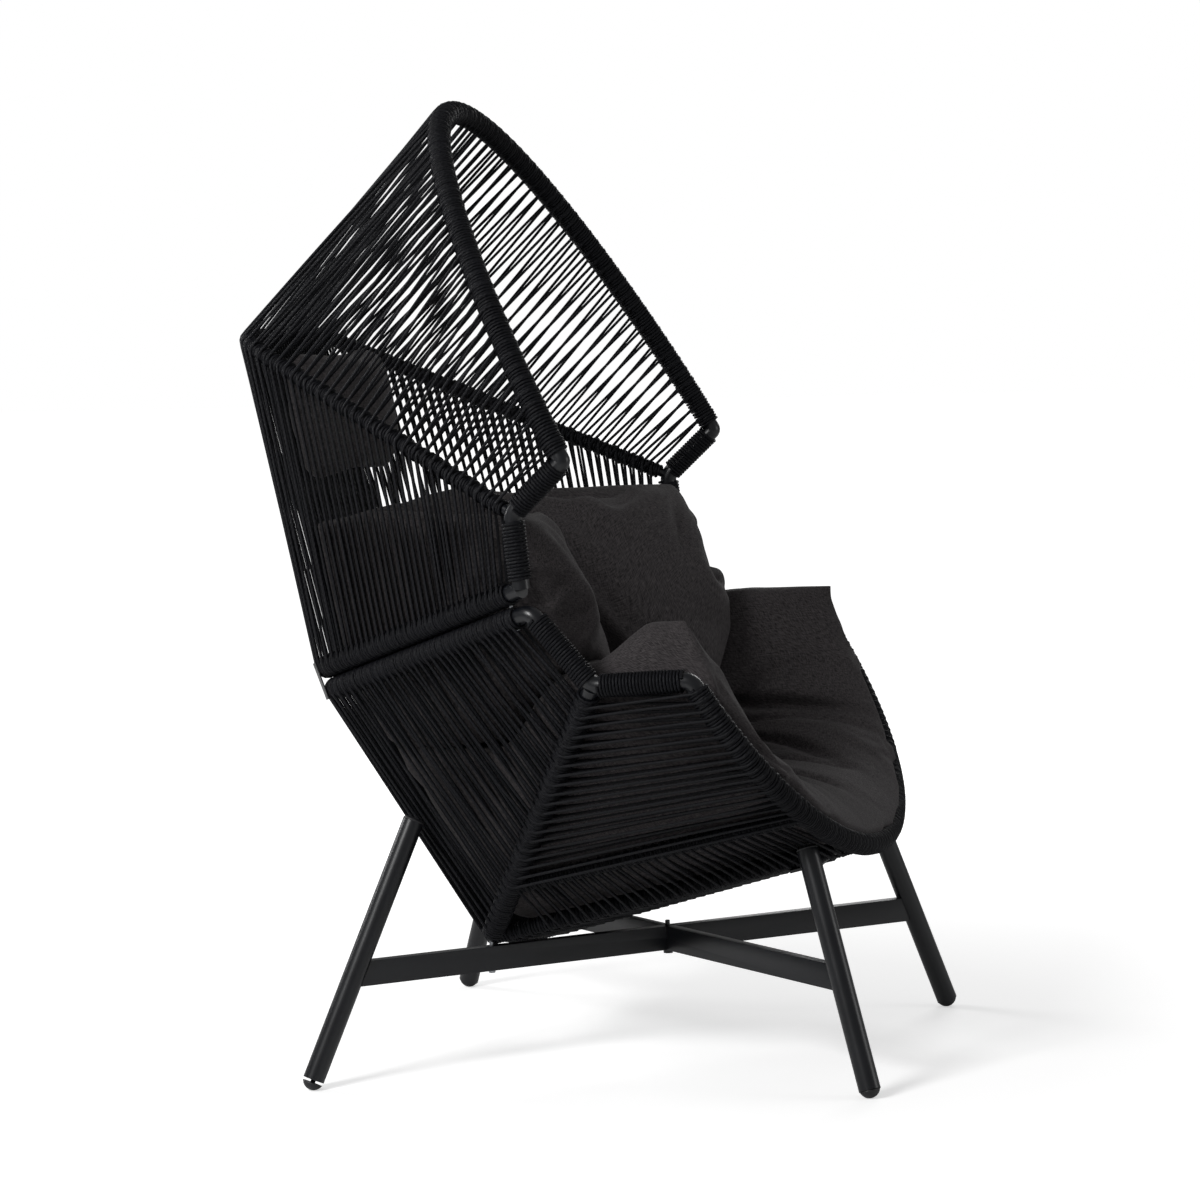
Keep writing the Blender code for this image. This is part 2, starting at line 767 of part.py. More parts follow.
def make_seat_frame():
    """Tubes of the seat shell."""
    past_corner = Vector((0, -heavy_tube_radius, 0))
    right = arm_points(-1)
    left = arm_points(1)
    ring = seat_ring_route()
    route = [right[2] + past_corner, right[1], *ring, left[1], left[2] + past_corner]
    part = add_tube("seat_ring_tube", route, heavy_tube_radius)
    drill_hood_bolts(part)

    arm_way = right[1] - right[2]
    rim_way = rim_point(math.pi / rim_steps) - right[2]
    start = butt_length(heavy_tube_radius, heavy_tube_radius, arm_way.angle(rim_way)) - rim_overlap
    add_tube("front_rim_tube", trimmed(rim_route(), start, start), heavy_tube_radius)

    for side, name in ((-1, "right"), (1, "left")):
        strut = strut_route(side)
        rail_way = bottom_rail_front(side) - rear_corner(side)
        rail_angle = rail_way.angle(strut[1] - strut[0])
        trim_top = heavy_tube_radius + fit_gap
        trim_bottom = butt_length(light_wound_radius, heavy_tube_radius, rail_angle)
        route = trimmed(strut, trim_top, trim_bottom)
        add_tube("side_strut_" + name, route, heavy_tube_radius)

        rail = fold_rail_route(side)
        rail_way = rail[1] - rail[0]
        strut_angle = rail_way.angle(strut[1] - strut[0])
        rim_along = rim_point(fold_rail_rim_angle) - rim_point(fold_rail_rim_angle - math.pi / rim_steps)
        rim_along.x = -side * abs(rim_along.x)
        back = butt_length(heavy_wound_radius, light_wound_radius, strut_angle)
        front = butt_length(heavy_wound_radius, light_wound_radius, rail_way.angle(rim_along))
        add_tube("fold_rail_" + name, trimmed(rail, back, front), light_wound_radius)

    bottom = bottom_tube_route()
    end = butt_length(heavy_wound_radius, light_wound_radius, steep_joint_angle)
    part = add_tube("seat_bottom_tube", trimmed(bottom, end, end), light_wound_radius)
    hole = small_bolt_diameter / 2 + fit_gap
    for side in (-1, 1):
        corner = rear_corner(side)
        drill_top = bar_top_height + rear_bolt_grip + 2 * fit_gap
        drill = cylinder_mesh(hole, bar_top_height - cut_overrun, drill_top, small_round_sides)
        cut(part, drill, Matrix.Translation((corner.x, corner.y, 0)))

    keel = keel_route()
    back = light_wound_radius + fit_gap
    front = butt_length(heavy_wound_radius, light_wound_radius, math.pi / 2)
    add_tube("keel_tube", trimmed(keel, back + keel_back_clearance, front), light_wound_radius)


def make_hood_frame():
    """Tubes of the hood."""
    along = heavy_tube_radius
    ring = hood_ring_route()
    start_way = (ring[0] - ring[1]).normalized()
    end_way = (ring[-1] - ring[-2]).normalized()
    route = [ring[0] + start_way * along, *ring[1:-1], ring[-1] + end_way * along]
    part = add_tube("hood_ring_tube", route, heavy_tube_radius)
    drill_hood_bolts(part)

    right = post_points(-1)
    left = post_points(1)
    arch = hood_route()
    route = [right[0], right[1], *arch, left[1], left[0]]
    post_angle = (right[1] - right[0]).angle(ring[1] - ring[0])
    foot = butt_length(heavy_tube_radius, heavy_tube_radius, post_angle)
    add_tube("hood_arch_tube", trimmed(route, foot, foot), heavy_tube_radius)

    belt = belt_route()
    end = butt_length(heavy_tube_radius, light_tube_radius, steep_joint_angle)
    add_tube("hood_belt_tube", trimmed(belt, end, end), light_tube_radius)


def make_windings():
    """Close layers of cord round the tubes that show."""
    bare = heavy_tube_radius + bare_corner_length
    rim_end = bare + heavy_tube_radius
    add_sleeve("front_rim_winding", trimmed(rim_route(), rim_end, rim_end), heavy_wound_radius)
    past_bolt = hood_bolt_from_corner + small_bolt_head_diameter
    add_sleeve("seat_ring_winding", trimmed(seat_ring_route(), past_bolt, past_bolt), heavy_wound_radius)
    add_sleeve("hood_ring_winding", trimmed(hood_ring_route(), past_bolt, past_bolt), heavy_wound_radius)
    add_sleeve("hood_arch_winding", trimmed(hood_route(), bare, bare), heavy_wound_radius)
    end = butt_length(heavy_tube_radius, light_wound_radius, steep_joint_angle)
    add_sleeve("hood_belt_winding", trimmed(belt_route(), end, end), light_wound_radius)
    for side, name in ((-1, "right"), (1, "left")):
        strut = strut_route(side)
        top = butt_length(heavy_tube_radius, heavy_wound_radius, steep_joint_angle)
        rail_way = bottom_rail_front(side) - rear_corner(side)
        bottom = butt_length(light_wound_radius, heavy_wound_radius, rail_way.angle(strut[1] - strut[0]))
        add_sleeve("side_strut_winding_" + name, trimmed(strut, top, bottom), heavy_wound_radius)
        corner, back, front = arm_points(side)
        post_end = bare + heavy_tube_radius / 2
        ends = (post_end, post_end)
        add_sleeve("arm_post_winding_" + name, trimmed([corner, back], *ends), heavy_wound_radius)
        make_arm_winding("armrest_winding_" + name, back, front, post_end)


def make_arm_winding(name, back, front, end_length):
    """One cord wound round the top of an armrest, as a single helix."""
    way = (front - back).normalized()
    across = way.cross(Vector((0, 0, 1))).normalized()
    up = across.cross(way)
    start = back + way * end_length
    length = (front - back).length - end_length - bare_corner_length
    pitch = length / (arm_winding_loops + 1)
    flat_share = math.cos(math.pi / arm_winding_points)
    radius = (heavy_tube_radius + fit_gap + cord_diameter / 2) / flat_share
    points = []
    count = arm_winding_loops * arm_winding_points
    for index in range(count + 1):
        angle = math.tau * index / arm_winding_points
        turn = across * math.cos(angle) + up * math.sin(angle)
        points.append(start + way * (pitch / 2 + pitch * index / arm_winding_points) + turn * radius)
    spacing = min((a - b).length for a, b in zip(points, points[arm_winding_points:]))
    print(name, "least gap to itself", round(spacing - cord_diameter, 5), "allowed", least_cord_gap)
    points.insert(0, points[0] - way * cord_diameter)
    points.append(points[-1] + way * cord_diameter)
    add_tube(name, points, cord_diameter / 2, "black_cord", 0)


# Cord panels

def panel_points(rails, share, lift):
    """Give the points of one cord, one on the outer face of each rail."""
    places = []
    for route, radius, start, end in rails:
        lengths = run_lengths(route)
        distance = lengths[-1] * (start + (end - start) * share)
        places.append((*along_route(route, distance), radius))
    points = []
    for index, (place, way, radius) in enumerate(places):
        before = places[max(index - 1, 0)][0]
        after = places[min(index + 1, len(places) - 1)][0]
        outward = way.cross(after - before).normalized()
        if outward.dot(place - inside_point) < 0:
            outward.negate()
        points.append(place + outward * (radius + cord_diameter / 2 + lift))
    return points


def add_panel(name, rails, count, lift=cord_lift):
    """Add one unbroken cord that runs to and fro between rails."""
    route = []
    runs = []
    for index in range(count):
        run = panel_points(rails, index / (count - 1), lift)
        runs.append(run)
        route += run if index % 2 == 0 else list(reversed(run))
    spacing = min((a - b).length for one, two in zip(runs, runs[1:]) for a, b in zip(one, two))
    print(name, "least gap to itself", round(spacing - cord_diameter, 5), "allowed", least_cord_gap)
    add_tube(name, route, cord_diameter / 2, "black_cord", 0)


def make_panels():
    """Cord panels of the hood and of the seat shell."""
    arch = hood_route()
    belt = belt_route()
    hood_ring = hood_ring_route()
    seat_ring = seat_ring_route()
    bottom = bottom_tube_route()
    for side, name in ((-1, "right"), (1, "left")):
        if side > 0:
            arch, belt = list(reversed(arch)), list(reversed(belt))
            hood_ring, seat_ring = list(reversed(hood_ring)), list(reversed(seat_ring))
        add_panel("hood_top_cords_" + name, [
            (arch, heavy_wound_radius, *hood_top_arch_shares),
            (belt, light_wound_radius + cord_diameter + cord_lift, *hood_top_belt_shares),
        ], hood_half_cords)
        add_panel("hood_side_cords_" + name, [
            (belt, light_wound_radius, *hood_side_belt_shares),
            (hood_ring, heavy_wound_radius, *hood_side_ring_shares),
        ], hood_side_cords)
        strut = strut_route(side)
        add_panel("seat_side_back_cords_" + name, [
            (seat_ring, heavy_wound_radius, *seat_side_ring_shares),
            (strut, heavy_wound_radius, *seat_side_strut_shares),
        ], seat_side_back_cords, side_cord_lift)
        rim = rim_route(0, fold_rail_rim_angle)
        rim = rim if side < 0 else [mirrored(point) for point in rim]
        add_panel("seat_side_front_cords_" + name, [
            (strut, heavy_wound_radius, *seat_front_strut_shares),
            (rim, heavy_wound_radius, *seat_front_rim_shares),
        ], seat_side_front_cords)
    add_panel("hood_back_cords", [
        (belt, light_wound_radius, *hood_back_belt_shares),
        (hood_ring, heavy_wound_radius, *hood_back_ring_shares),
    ], hood_back_cords)
    rear = [rear_corner(-1), *bottom[2:-2], rear_corner(1)]
    add_panel("seat_back_cords", [
        (list(reversed(seat_ring)), heavy_wound_radius, *hood_back_ring_shares),
        (rear, light_wound_radius, *seat_back_rear_shares),
    ], seat_back_cords, back_cord_lift)
    rails = []
    for side in (-1, 1):
        fold = fold_rail_route(side)
        rail = [rear_corner(side), bottom_rail_front(side)]
        rails.append([(fold, light_wound_radius, *seat_bottom_fold_shares),
                      (rail, light_wound_radius, *seat_bottom_rail_shares)])
    keel = (keel_route(), light_wound_radius, *seat_bottom_keel_shares)
    add_panel("seat_bottom_cords", [*rails[0], keel, *reversed(rails[1])], seat_bottom_cords)


# Joining plates and brackets

def make_joining_plates():
    """Thin plates behind the back corners that tie the hood ring to the seat ring."""
    seat_ring = seat_ring_route()
    corner = seat_ring[1 + corner_steps // 2]
    after = seat_ring[2 + corner_steps // 2]
    way = (after - corner).normalized()
    up = ring_normal()
    outward = way.cross(up).normalized()
    middle = (corner + after) / 2
    if outward.dot(middle - inside_point) < 0:
        outward.negate()
    half_height = ring_spacing / 2 + plate_overlap
    seat = middle + up * (ring_spacing / 2) + outward * (heavy_wound_radius + fit_gap)
    low = (-plate_width / 2, -half_height, 0)
    high = (plate_width / 2, half_height, plate_thickness)
    for side, name in ((-1, "right"), (1, "left")):
        place = seat if side < 0 else mirrored(seat)
        face = outward if side < 0 else mirrored(outward)
        part = add_object("joining_plate_" + name, box_mesh(low, high), "bolt_steel", smooth=False)
        part.matrix_world = frame_at(place, face, x_hint=up.cross(face))


def make_brackets():
    """Plates that carry the bottom rails on the front legs."""
    for side, name in ((-1, "right"), (1, "left")):
        rail = [rear_corner(side), bottom_rail_front(side)]
        way = (rail[1] - rail[0]).normalized()
        place = rail[0].lerp(rail[1], bracket_back_share)
        outward = Vector((side, 0, 0))
        up = outward.cross(way).normalized()
        if up.z < 0:
            up.negate()
        centre, leg_up = leg_axis("front_" + name)
        middle_height = place.z - light_wound_radius
        leg_place = centre + leg_up * ((middle_height - centre.z) / leg_up.z)
        reach = abs(leg_place.x) - abs(place.x)
        top = -light_wound_radius - fit_gap
        ends = sorted((-side * bracket_past_rail, side * reach))
        low = (ends[0], 0, top - bracket_thickness)
        high = (ends[1], bracket_length, top)
        part = add_object("front_bracket_" + name, box_mesh(low, high), "painted_frame", smooth=False)
        across = way.cross(up)
        turn = Matrix((across, way, up)).transposed().to_4x4()
        part.matrix_world = Matrix.Translation(place) @ turn
        leg_shape = cylinder_mesh(leg_diameter / 2 + fit_gap, 0, leg_length("front_" + name))
        cut(part, leg_shape, frame_at(centre, leg_up))


# Cushions

def pad_mesh(across, along, place_of):
    """Close two grids of points, face and back, into one pad."""
    shape = bmesh.new()
    grids = []
    for face_side in (1, -1):
        grid = []
        for row in range(along + 1):
            v = 2 * row / along - 1
            line = []
            for column in range(across + 1):
                u = 2 * column / across - 1
                line.append(shape.verts.new(place_of(u, v, face_side)))
            grid.append(line)
        grids.append(grid)
    for grid in grids:
        for row in range(along):
            for column in range(across):
                corners = (grid[row][column], grid[row][column + 1],
                           grid[row + 1][column + 1], grid[row + 1][column])
                shape.faces.new(corners)
    face, back = grids
    edge = [(0, column) for column in range(across)] + [(row, across) for row in range(along)]
    edge += [(along, column) for column in range(across, 0, -1)] + [(row, 0) for row in range(along, 0, -1)]
    for (row, column), (next_row, next_column) in zip(edge, edge[1:] + edge[:1]):
        shape.faces.new((face[row][column], face[next_row][next_column],
                         back[next_row][next_column], back[row][column]))
    mesh = bpy.data.meshes.new("pad")
    shape.to_mesh(mesh)
    shape.free()
    return faced_outward(mesh)


def crown(u, v):
    """Share of a pad's full thickness at a place, full in the middle and thin at the edge."""
    return math.sqrt(max(0, (1 - u ** crown_power) * (1 - v ** crown_power)))


def add_pillow(name, width, height, thickness, matrix, outer_side=0):
    """Add a crowned pillow whose sides draw in between its corners."""

    def place_of(u, v, face_side):
        outer_share = (u * outer_side + 1) / 2 if outer_side else 0
        bottom = -height / 2 + pillow_outer_lift * outer_share ** 2
        top = height / 2 - pillow_outer_drop * outer_share ** 2
        x = width / 2 * u * (1 - pillow_side_draw_share * (1 - v * v))
        y = (bottom + top) / 2 + (top - bottom) / 2 * v * (1 - pillow_side_draw_share * (1 - u * u))
        z = face_side * (pillow_edge / 2 + (thickness - pillow_edge) / 2 * crown(u, v))
        return Vector((x, y, z))

    part = add_object(name, pad_mesh(pillow_steps, pillow_steps, place_of), "charcoal_fabric")
    part.matrix_world = matrix


def make_pillows():
    """Two back pillows side by side and the head pillow above them."""
    for side, name in ((-1, "right"), (1, "left")):
        depth = right_pillow_centre_depth if side < 0 else left_pillow_centre_depth
        below_wing = right_pillow_below_wing if side < 0 else left_pillow_below_wing
        inset = right_pillow_inset if side < 0 else left_pillow_inset
        across = side * (arm_half_width / 2 - inset)
        place = Vector((across, depth, seat_pad_wing_height - below_wing))
        turn = Matrix.Rotation(-side * pillow_toe_in, 4, "Z")
        turn @= Matrix.Rotation(math.pi / 2 - pillow_lean, 4, "X")
        add_pillow("back_pillow_" + name, pillow_width, pillow_height, pillow_thickness,
                   Matrix.Translation(place) @ turn, side)
    place = Vector((0, belt_back_depth - head_pillow_before_belt, hood_foot_height + head_pillow_rise))
    turn = Matrix.Rotation(math.pi / 2 - head_pillow_lean, 4, "X")
    add_pillow("head_pillow", head_pillow_width, head_pillow_height, head_pillow_thickness,
               Matrix.Translation(place) @ turn)


def plane_offset(point):
    """Give how far behind the plane of the front rim a point lies, measured level."""
    return point.y - arm_front_depth - math.tan(rim_lean) * (point.z - arm_front_height)


def route_at_offset(route, offset):
    """Give the point where a route crosses the plane at an offset behind the rim."""
    for start, end in zip(route, route[1:]):
        low, high = plane_offset(start), plane_offset(end)
        if min(low, high) <= offset <= max(low, high):
            return start.lerp(end, (offset - low) / (high - low))
    return None


def shell_section(offset):
    """Give the shell's half section at an offset: keel, bottom rail, fold rail, strut and arm or ring."""
    keel = keel_route()
    front_keel = plane_offset(keel[1])
    rail = [rear_corner(1), bottom_rail_front(1)]
    place = max(offset, front_keel, plane_offset(rail[1]))
    points = [route_at_offset(keel, place), route_at_offset(rail, place)]
    for route in (fold_rail_route(1), strut_route(1)):
        point = route_at_offset(route, max(place, plane_offset(fold_rail_route(1)[1])))
        if point:
            points.append(point)
    corner, back, front = arm_points(1)
    top_route = [front, back, corner, *list(reversed(seat_ring_route()))[1:corner_steps + 2]]
    top = route_at_offset(top_route, max(place, 0))
    points.append(top)
    points.append(top + Vector((-seat_pad_wing_lean, 0, seat_pad_wing_height - arm_front_height)))
    return points


def seat_pad_place(u, v, face_side):
    """Place on the seat pad: u runs from wing to wing, v from back to front."""
    towards_back = (1 - v) / 2
    ring_back = plane_offset(seat_ring_route()[corner_steps + 1])
    back = min(plane_offset(rear_bow_point()) - seat_pad_back_gap, ring_back)
    wing_reach = seat_pad_right_wing_reach if u < 0 else seat_pad_left_wing_reach
    reach = seat_pad_front_reach + (wing_reach - seat_pad_front_reach) * u ** seat_pad_wing_reach_power
    offset = back * towards_back - reach * (1 - towards_back)
    section = shell_section(offset)
    fall_share = (offset - seat_pad_wing_fall_start) / (seat_pad_wing_fall_end - seat_pad_wing_fall_start)
    fall_share = min(1, max(0, fall_share))
    fall_share = fall_share * fall_share * (3 - 2 * fall_share)
    front_height = seat_pad_wing_height - (seat_pad_left_wing_drop if u > 0 else 0)
    top_height = front_height + (seat_pad_back_wing_height - front_height) * fall_share
    lengths = run_lengths(section)
    top_length = lengths[-1]
    for start, end, length in zip(section, section[1:], lengths):
        if start.z <= top_height <= end.z:
            top_length = length + (end - start).length * (top_height - start.z) / (end.z - start.z)
    distance = top_length * abs(u)
    smooth_reach = top_length * seat_pad_smoothing_share
    before = along_route(section, max(distance - smooth_reach, 0))[0]
    after = along_route(section, min(distance + smooth_reach, top_length))[0]
    place = (before + after) / 2
    if abs(u) * top_length < smooth_reach:
        before = Vector((-after.x, after.y, after.z))
        place.z = along_route(section, smooth_reach / 2)[0].z
        place.x = distance
    way = (after - before).normalized()
    plane_normal = Vector((0, 1, -math.tan(rim_lean))).normalized()
    inward = way.cross(plane_normal).normalized()
    middle_full = seat_pad_front_thickness
    middle_full += (seat_pad_back_thickness - seat_pad_front_thickness) * towards_back
    full = middle_full + (seat_pad_wing_thickness - middle_full) * abs(u) ** seat_pad_wing_thinning_power
    share = crown(u, v)
    rise = heavy_wound_radius + seat_pad_clearance
    middle = rise + full / 2
    half = seat_pad_edge / 2 + (full - seat_pad_edge) / 2 * share
    place = place + inward * (middle + half * face_side)
    if u < 0:
        place = mirrored(place)
    place.y += offset - plane_offset(place)
    if abs(u) < centre_line_share:
        place.x = 0
    place.z -= seat_pad_settling
    return place


def make_seat_pad():
    """Thick seat pad that lies in the shell and curls up its sides."""
    mesh = pad_mesh(seat_pad_steps_across, seat_pad_steps_along, seat_pad_place)
    add_object("seat_cushion", mesh, "charcoal_fabric")


def main():
    """Build every sub-part of the chair."""
    clear_scene()
    make_finishes()
    for leg in leg_table:
        make_leg(leg)
        make_leg_plug(leg)
        make_glide(leg)
    make_bars()
    make_bolts()
    make_seat_frame()
    make_hood_frame()
    make_windings()
    make_panels()
    make_joining_plates()
    make_brackets()
    make_seat_pad()
    make_pillows()
    for part in bpy.data.objects:
        part.location.y -= origin_depth
    bpy.context.view_layer.update()


main()
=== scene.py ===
# %% [markdown]
# # A hooded garden lounge chair
#
# The chair is a shell of bent steel tube. Black cord is wound closely round the tubes, and every
# few turns it crosses to the next tube, so that the crossings make see-through walls. Thick loose
# cushions lie in the shell, and the shell stands on two crossed bars with splayed tube legs.
#
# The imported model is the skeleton: it has every piece at its real size and place. This lesson
# keeps what is already right, and dresses the rest with cord, cloth and paint.

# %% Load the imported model
import math
from functools import partial

import bpy
import bmesh
import numpy as np
from mathutils import Matrix, Vector
from mathutils.bvhtree import BVHTree


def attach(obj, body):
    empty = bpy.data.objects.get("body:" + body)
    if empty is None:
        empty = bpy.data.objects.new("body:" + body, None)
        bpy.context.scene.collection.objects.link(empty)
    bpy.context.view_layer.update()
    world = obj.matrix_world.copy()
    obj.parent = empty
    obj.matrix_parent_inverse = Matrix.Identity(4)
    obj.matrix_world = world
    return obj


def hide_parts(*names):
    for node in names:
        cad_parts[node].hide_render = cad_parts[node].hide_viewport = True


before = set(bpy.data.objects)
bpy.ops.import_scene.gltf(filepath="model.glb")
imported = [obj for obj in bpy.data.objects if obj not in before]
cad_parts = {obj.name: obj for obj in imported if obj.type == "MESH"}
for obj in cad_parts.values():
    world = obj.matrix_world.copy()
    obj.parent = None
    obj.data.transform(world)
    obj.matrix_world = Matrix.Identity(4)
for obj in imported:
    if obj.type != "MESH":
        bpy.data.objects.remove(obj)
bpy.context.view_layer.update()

CHAIR = "chair"
SIDES = ("right", "left")
EVERY_LEG = ("front_right", "front_left", "back_right", "back_left")


def mm(value):
    """Millimetres as metres."""
    return value / 1000


# %% [markdown]
# ## A small workbench
#
# A colour is written as the hex value that a paint chart would give, and one function turns it
# into the linear light that Blender mixes. Nodes are added by one function too, because a long
# material is easier to follow when each node is a single statement.

# %% Colour and node helpers
# Numbers of a Mix node's sockets, because those for colours and for vectors share their names.
MIX_A, MIX_B, MIXED = 6, 7, 2
VECTOR_A, VECTOR_B, VECTOR_MIXED = 4, 5, 1
FAMILIES = ("ShaderNode", "GeometryNode", "")


def paint(code):
    """Linear colour of an sRGB hex value such as #1a2b3c."""
    shares = [int(code[start:start + 2], 16) / 255 for start in (1, 3, 5)]
    linear = [c / 12.92 if c <= 0.04045 else ((c + 0.055) / 1.055) ** 2.4 for c in shares]
    return (*linear, 1.0)


def feed(node, inputs):
    """Link or set a node's inputs, by name or number, or in order when they come as a list."""
    for key, value in inputs.items() if isinstance(inputs, dict) else enumerate(inputs):
        if isinstance(value, bpy.types.Node):
            value = value.outputs[0]
        if isinstance(value, bpy.types.NodeSocket):
            node.id_data.links.new(value, node.inputs[key])
        else:
            node.inputs[key].default_value = value


def add_node(tree, kind, inputs=(), operation=None, **settings):
    """Add a node with its settings and inputs. Its kind needs no word for the node's family."""
    known = [family + kind for family in FAMILIES if hasattr(bpy.types, family + kind)]
    made = tree.nodes.new(known[0])
    if operation:
        made.operation = operation
    for name, value in settings.items():
        setattr(made, name, value)
    feed(made, inputs)
    return made


def new_finish(name):
    """A material, a way to add its nodes, its shader, and the place on the object."""
    finish = bpy.data.materials.new(name)
    finish.use_nodes = True
    tree = finish.node_tree
    place = add_node(tree, "TexCoord").outputs["Object"]
    return finish, partial(add_node, tree), tree.nodes["Principled BSDF"], place


# %% [markdown]
# ## Powder coated steel
#
# Bars, legs and the bare ends of the tubes are steel with a satin black powder coat. The powder
# melts in the oven into a skin with a very fine orange peel, which breaks the highlights up a
# little.

# %% Powder coat
PEEL_SIZE = mm(1.6)
WEAR_SIZE = mm(45)
powder_coat, add, shader, place = new_finish("satin_black_powder_coat")
peel = add("TexNoise", {"Vector": place, "Scale": 1 / PEEL_SIZE, "Detail": 2.0})
wear = add("TexNoise", {"Vector": place, "Scale": 1 / WEAR_SIZE, "Detail": 4.0})
shade = add("Mix", {"Factor": wear, MIX_A: paint("#07080c"), MIX_B: paint("#0e1015")},
            data_type="RGBA")
feed(shader, {
    "Base Color": shade.outputs[MIXED],
    "Roughness": add("MapRange", {"Value": wear, "To Min": 0.28, "To Max": 0.38}),
    "Normal": add("Bump", {"Height": peel, "Strength": 0.10, "Distance": mm(0.2)}),
    "Specular IOR Level": 0.50,
})

# %% [markdown]
# ## Outdoor cord
#
# The cord is polyolefin yarn braided over a core, five millimetres thick and matt. The geometry
# stores how far along the cord each point lies, and where round it, so two slanting waves can
# cross as the braid's strands do. A real strand is about a millimetre wide, which a picture of the
# whole chair can't show, so the braid is drawn some three times as coarse.

# %% Braided cord
BRAID_STEP = mm(9.0)
FUZZ_SIZE, DUST_SIZE = mm(2.2), mm(70)
cord_finish, add, shader, place = new_finish("braided_polyolefin_cord")
along = add("Attribute", attribute_name="cord_along").outputs["Fac"]
around = add("Attribute", attribute_name="cord_around").outputs["Fac"]
steps = add("Math", [along, math.tau / BRAID_STEP], "MULTIPLY")
turns = add("Math", [around, math.tau * 2], "MULTIPLY")
strands = [add("Math", [add("Math", [steps, turns], lean)], "SINE") for lean in ("ADD", "SUBTRACT")]
braid = add("Math", strands, "MAXIMUM")
fuzz = add("TexNoise", {"Vector": place, "Scale": 1 / FUZZ_SIZE, "Detail": 3.0})
dust = add("TexNoise", {"Vector": place, "Scale": 1 / DUST_SIZE, "Detail": 3.0})
mixed = add("Math", [braid, 0.22, add("Math", [dust, 0.55], "MULTIPLY")], "MULTIPLY_ADD")
shade = add("Mix", {"Factor": mixed, MIX_A: paint("#07070a"), MIX_B: paint("#15161b")},
            data_type="RGBA")
relief = add("Math", [fuzz, 0.9, braid], "MULTIPLY_ADD")
feed(shader, {
    "Base Color": shade.outputs[MIXED],
    "Normal": add("Bump", {"Height": relief, "Strength": 0.55, "Distance": mm(0.5)}),
    "Roughness": 0.60,
    "Specular IOR Level": 0.16,
})

# %% [markdown]
# ## Charcoal outdoor cloth
#
# The covers are spun olefin in a plain weave. Its yarns are mixed from lighter and darker fibres,
# so from a step away the cloth has a fine grain with a warm cast. Yarns lie 0.6 mm apart on the
# real cloth, and are drawn 2.4 mm apart here, or they would vanish between the picture's pixels.
# The weave follows a UV map laid out in metres over the flat cut of each cover.

# %% Woven cloth
YARN_STEP = mm(2.4)
FIBRE_WIDTH, FIBRE_LENGTH = mm(1.5), mm(9)
FADE_SIZE = mm(160)
cloth_finish, add, shader, place = new_finish("charcoal_olefin_cloth")
flat_place = add("UVMap", uv_map="flat_cut").outputs[0]
flat_parts = add("SeparateXYZ", [flat_place])
waves, fibres = [], []
for way in (0, 1):
    angle = add("Math", [flat_parts.outputs[way], math.tau / YARN_STEP], "MULTIPLY")
    waves.append(add("Math", [angle], "SINE"))
    stretch = [1 / FIBRE_LENGTH, 1 / FIBRE_LENGTH, 1.0]
    stretch[way] = 1 / FIBRE_WIDTH
    stretched = add("Mapping", {"Vector": flat_place, "Scale": stretch})
    fibres.append(add("TexNoise", {"Vector": stretched, "Scale": 1.0, "Detail": 2.0}))
crossings = add("Math", waves, "MULTIPLY")
yarns = add("Math", fibres, "ADD")
melange = add("MapRange", {"Value": yarns, "From Min": 0.72, "From Max": 1.28})
shade = add("Mix", {"Factor": melange, MIX_A: paint("#1f1d1e"), MIX_B: paint("#4b4748")},
            data_type="RGBA")
fade = add("TexNoise", {"Vector": place, "Scale": 1 / FADE_SIZE, "Detail": 3.0})
faded = add("MapRange", {"Value": fade, "To Min": 0.86, "To Max": 1.12})
relief = add("Math", [crossings, 0.5, yarns], "MULTIPLY_ADD")
feed(shader, {
    "Base Color": add("VectorMath", {0: shade.outputs[MIXED], "Scale": faded}, "SCALE"),
    "Normal": add("Bump", {"Height": relief, "Strength": 0.45, "Distance": mm(0.4)}),
    "Roughness": 0.92,
    "Specular IOR Level": 0.16,
    "Sheen Weight": 0.04,
    "Sheen Roughness": 0.5,
})

# %% [markdown]
# ## Moulded plastic and plated steel
#
# Leg plugs and levelling glides are moulded nylon with a fine spark-eroded grain. The bolts are
# zinc plated steel, a bright grey that is a little cloudy. Only the bolt in the crossing of the
# bars is powder coated together with them.

# %% Nylon and zinc
GRAIN_SIZE, CLOUD_SIZE = mm(0.9), mm(6)
nylon, add, shader, place = new_finish("black_moulded_nylon")
grain = add("TexNoise", {"Vector": place, "Scale": 1 / GRAIN_SIZE, "Detail": 3.0})
shade = add("Mix", {"Factor": grain, MIX_A: paint("#141416"), MIX_B: paint("#1c1c1f")},
            data_type="RGBA")
feed(shader, {
    "Base Color": shade.outputs[MIXED],
    "Normal": add("Bump", {"Height": grain, "Strength": 0.2, "Distance": mm(0.15)}),
    "Roughness": 0.5,
})

zinc, add, shader, place = new_finish("zinc_plated_steel")
cloud = add("TexNoise", {"Vector": place, "Scale": 1 / CLOUD_SIZE, "Detail": 4.0})
shade = add("Mix", {"Factor": cloud, MIX_A: paint("#8d9094"), MIX_B: paint("#b9bcc0")},
            data_type="RGBA")
feed(shader, {
    "Base Color": shade.outputs[MIXED],
    "Roughness": add("MapRange", {"Value": cloud, "To Min": 0.24, "To Max": 0.42}),
    "Metallic": 1.0,
})
finishes = (powder_coat, cord_finish, cloth_finish, nylon, zinc)
print("finishes:", [finish.name for finish in finishes])

# %% [markdown]
# ## Where the tubes run
#
# Every tube follows a simple rule: a ring is a U with round corners, the rim and the arch are half
# ovals, and the rest are straight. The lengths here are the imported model's own, so the new pieces
# land exactly on its solids. Depths are counted from the crossing of the base bars and are moved
# to the model's origin at the end.

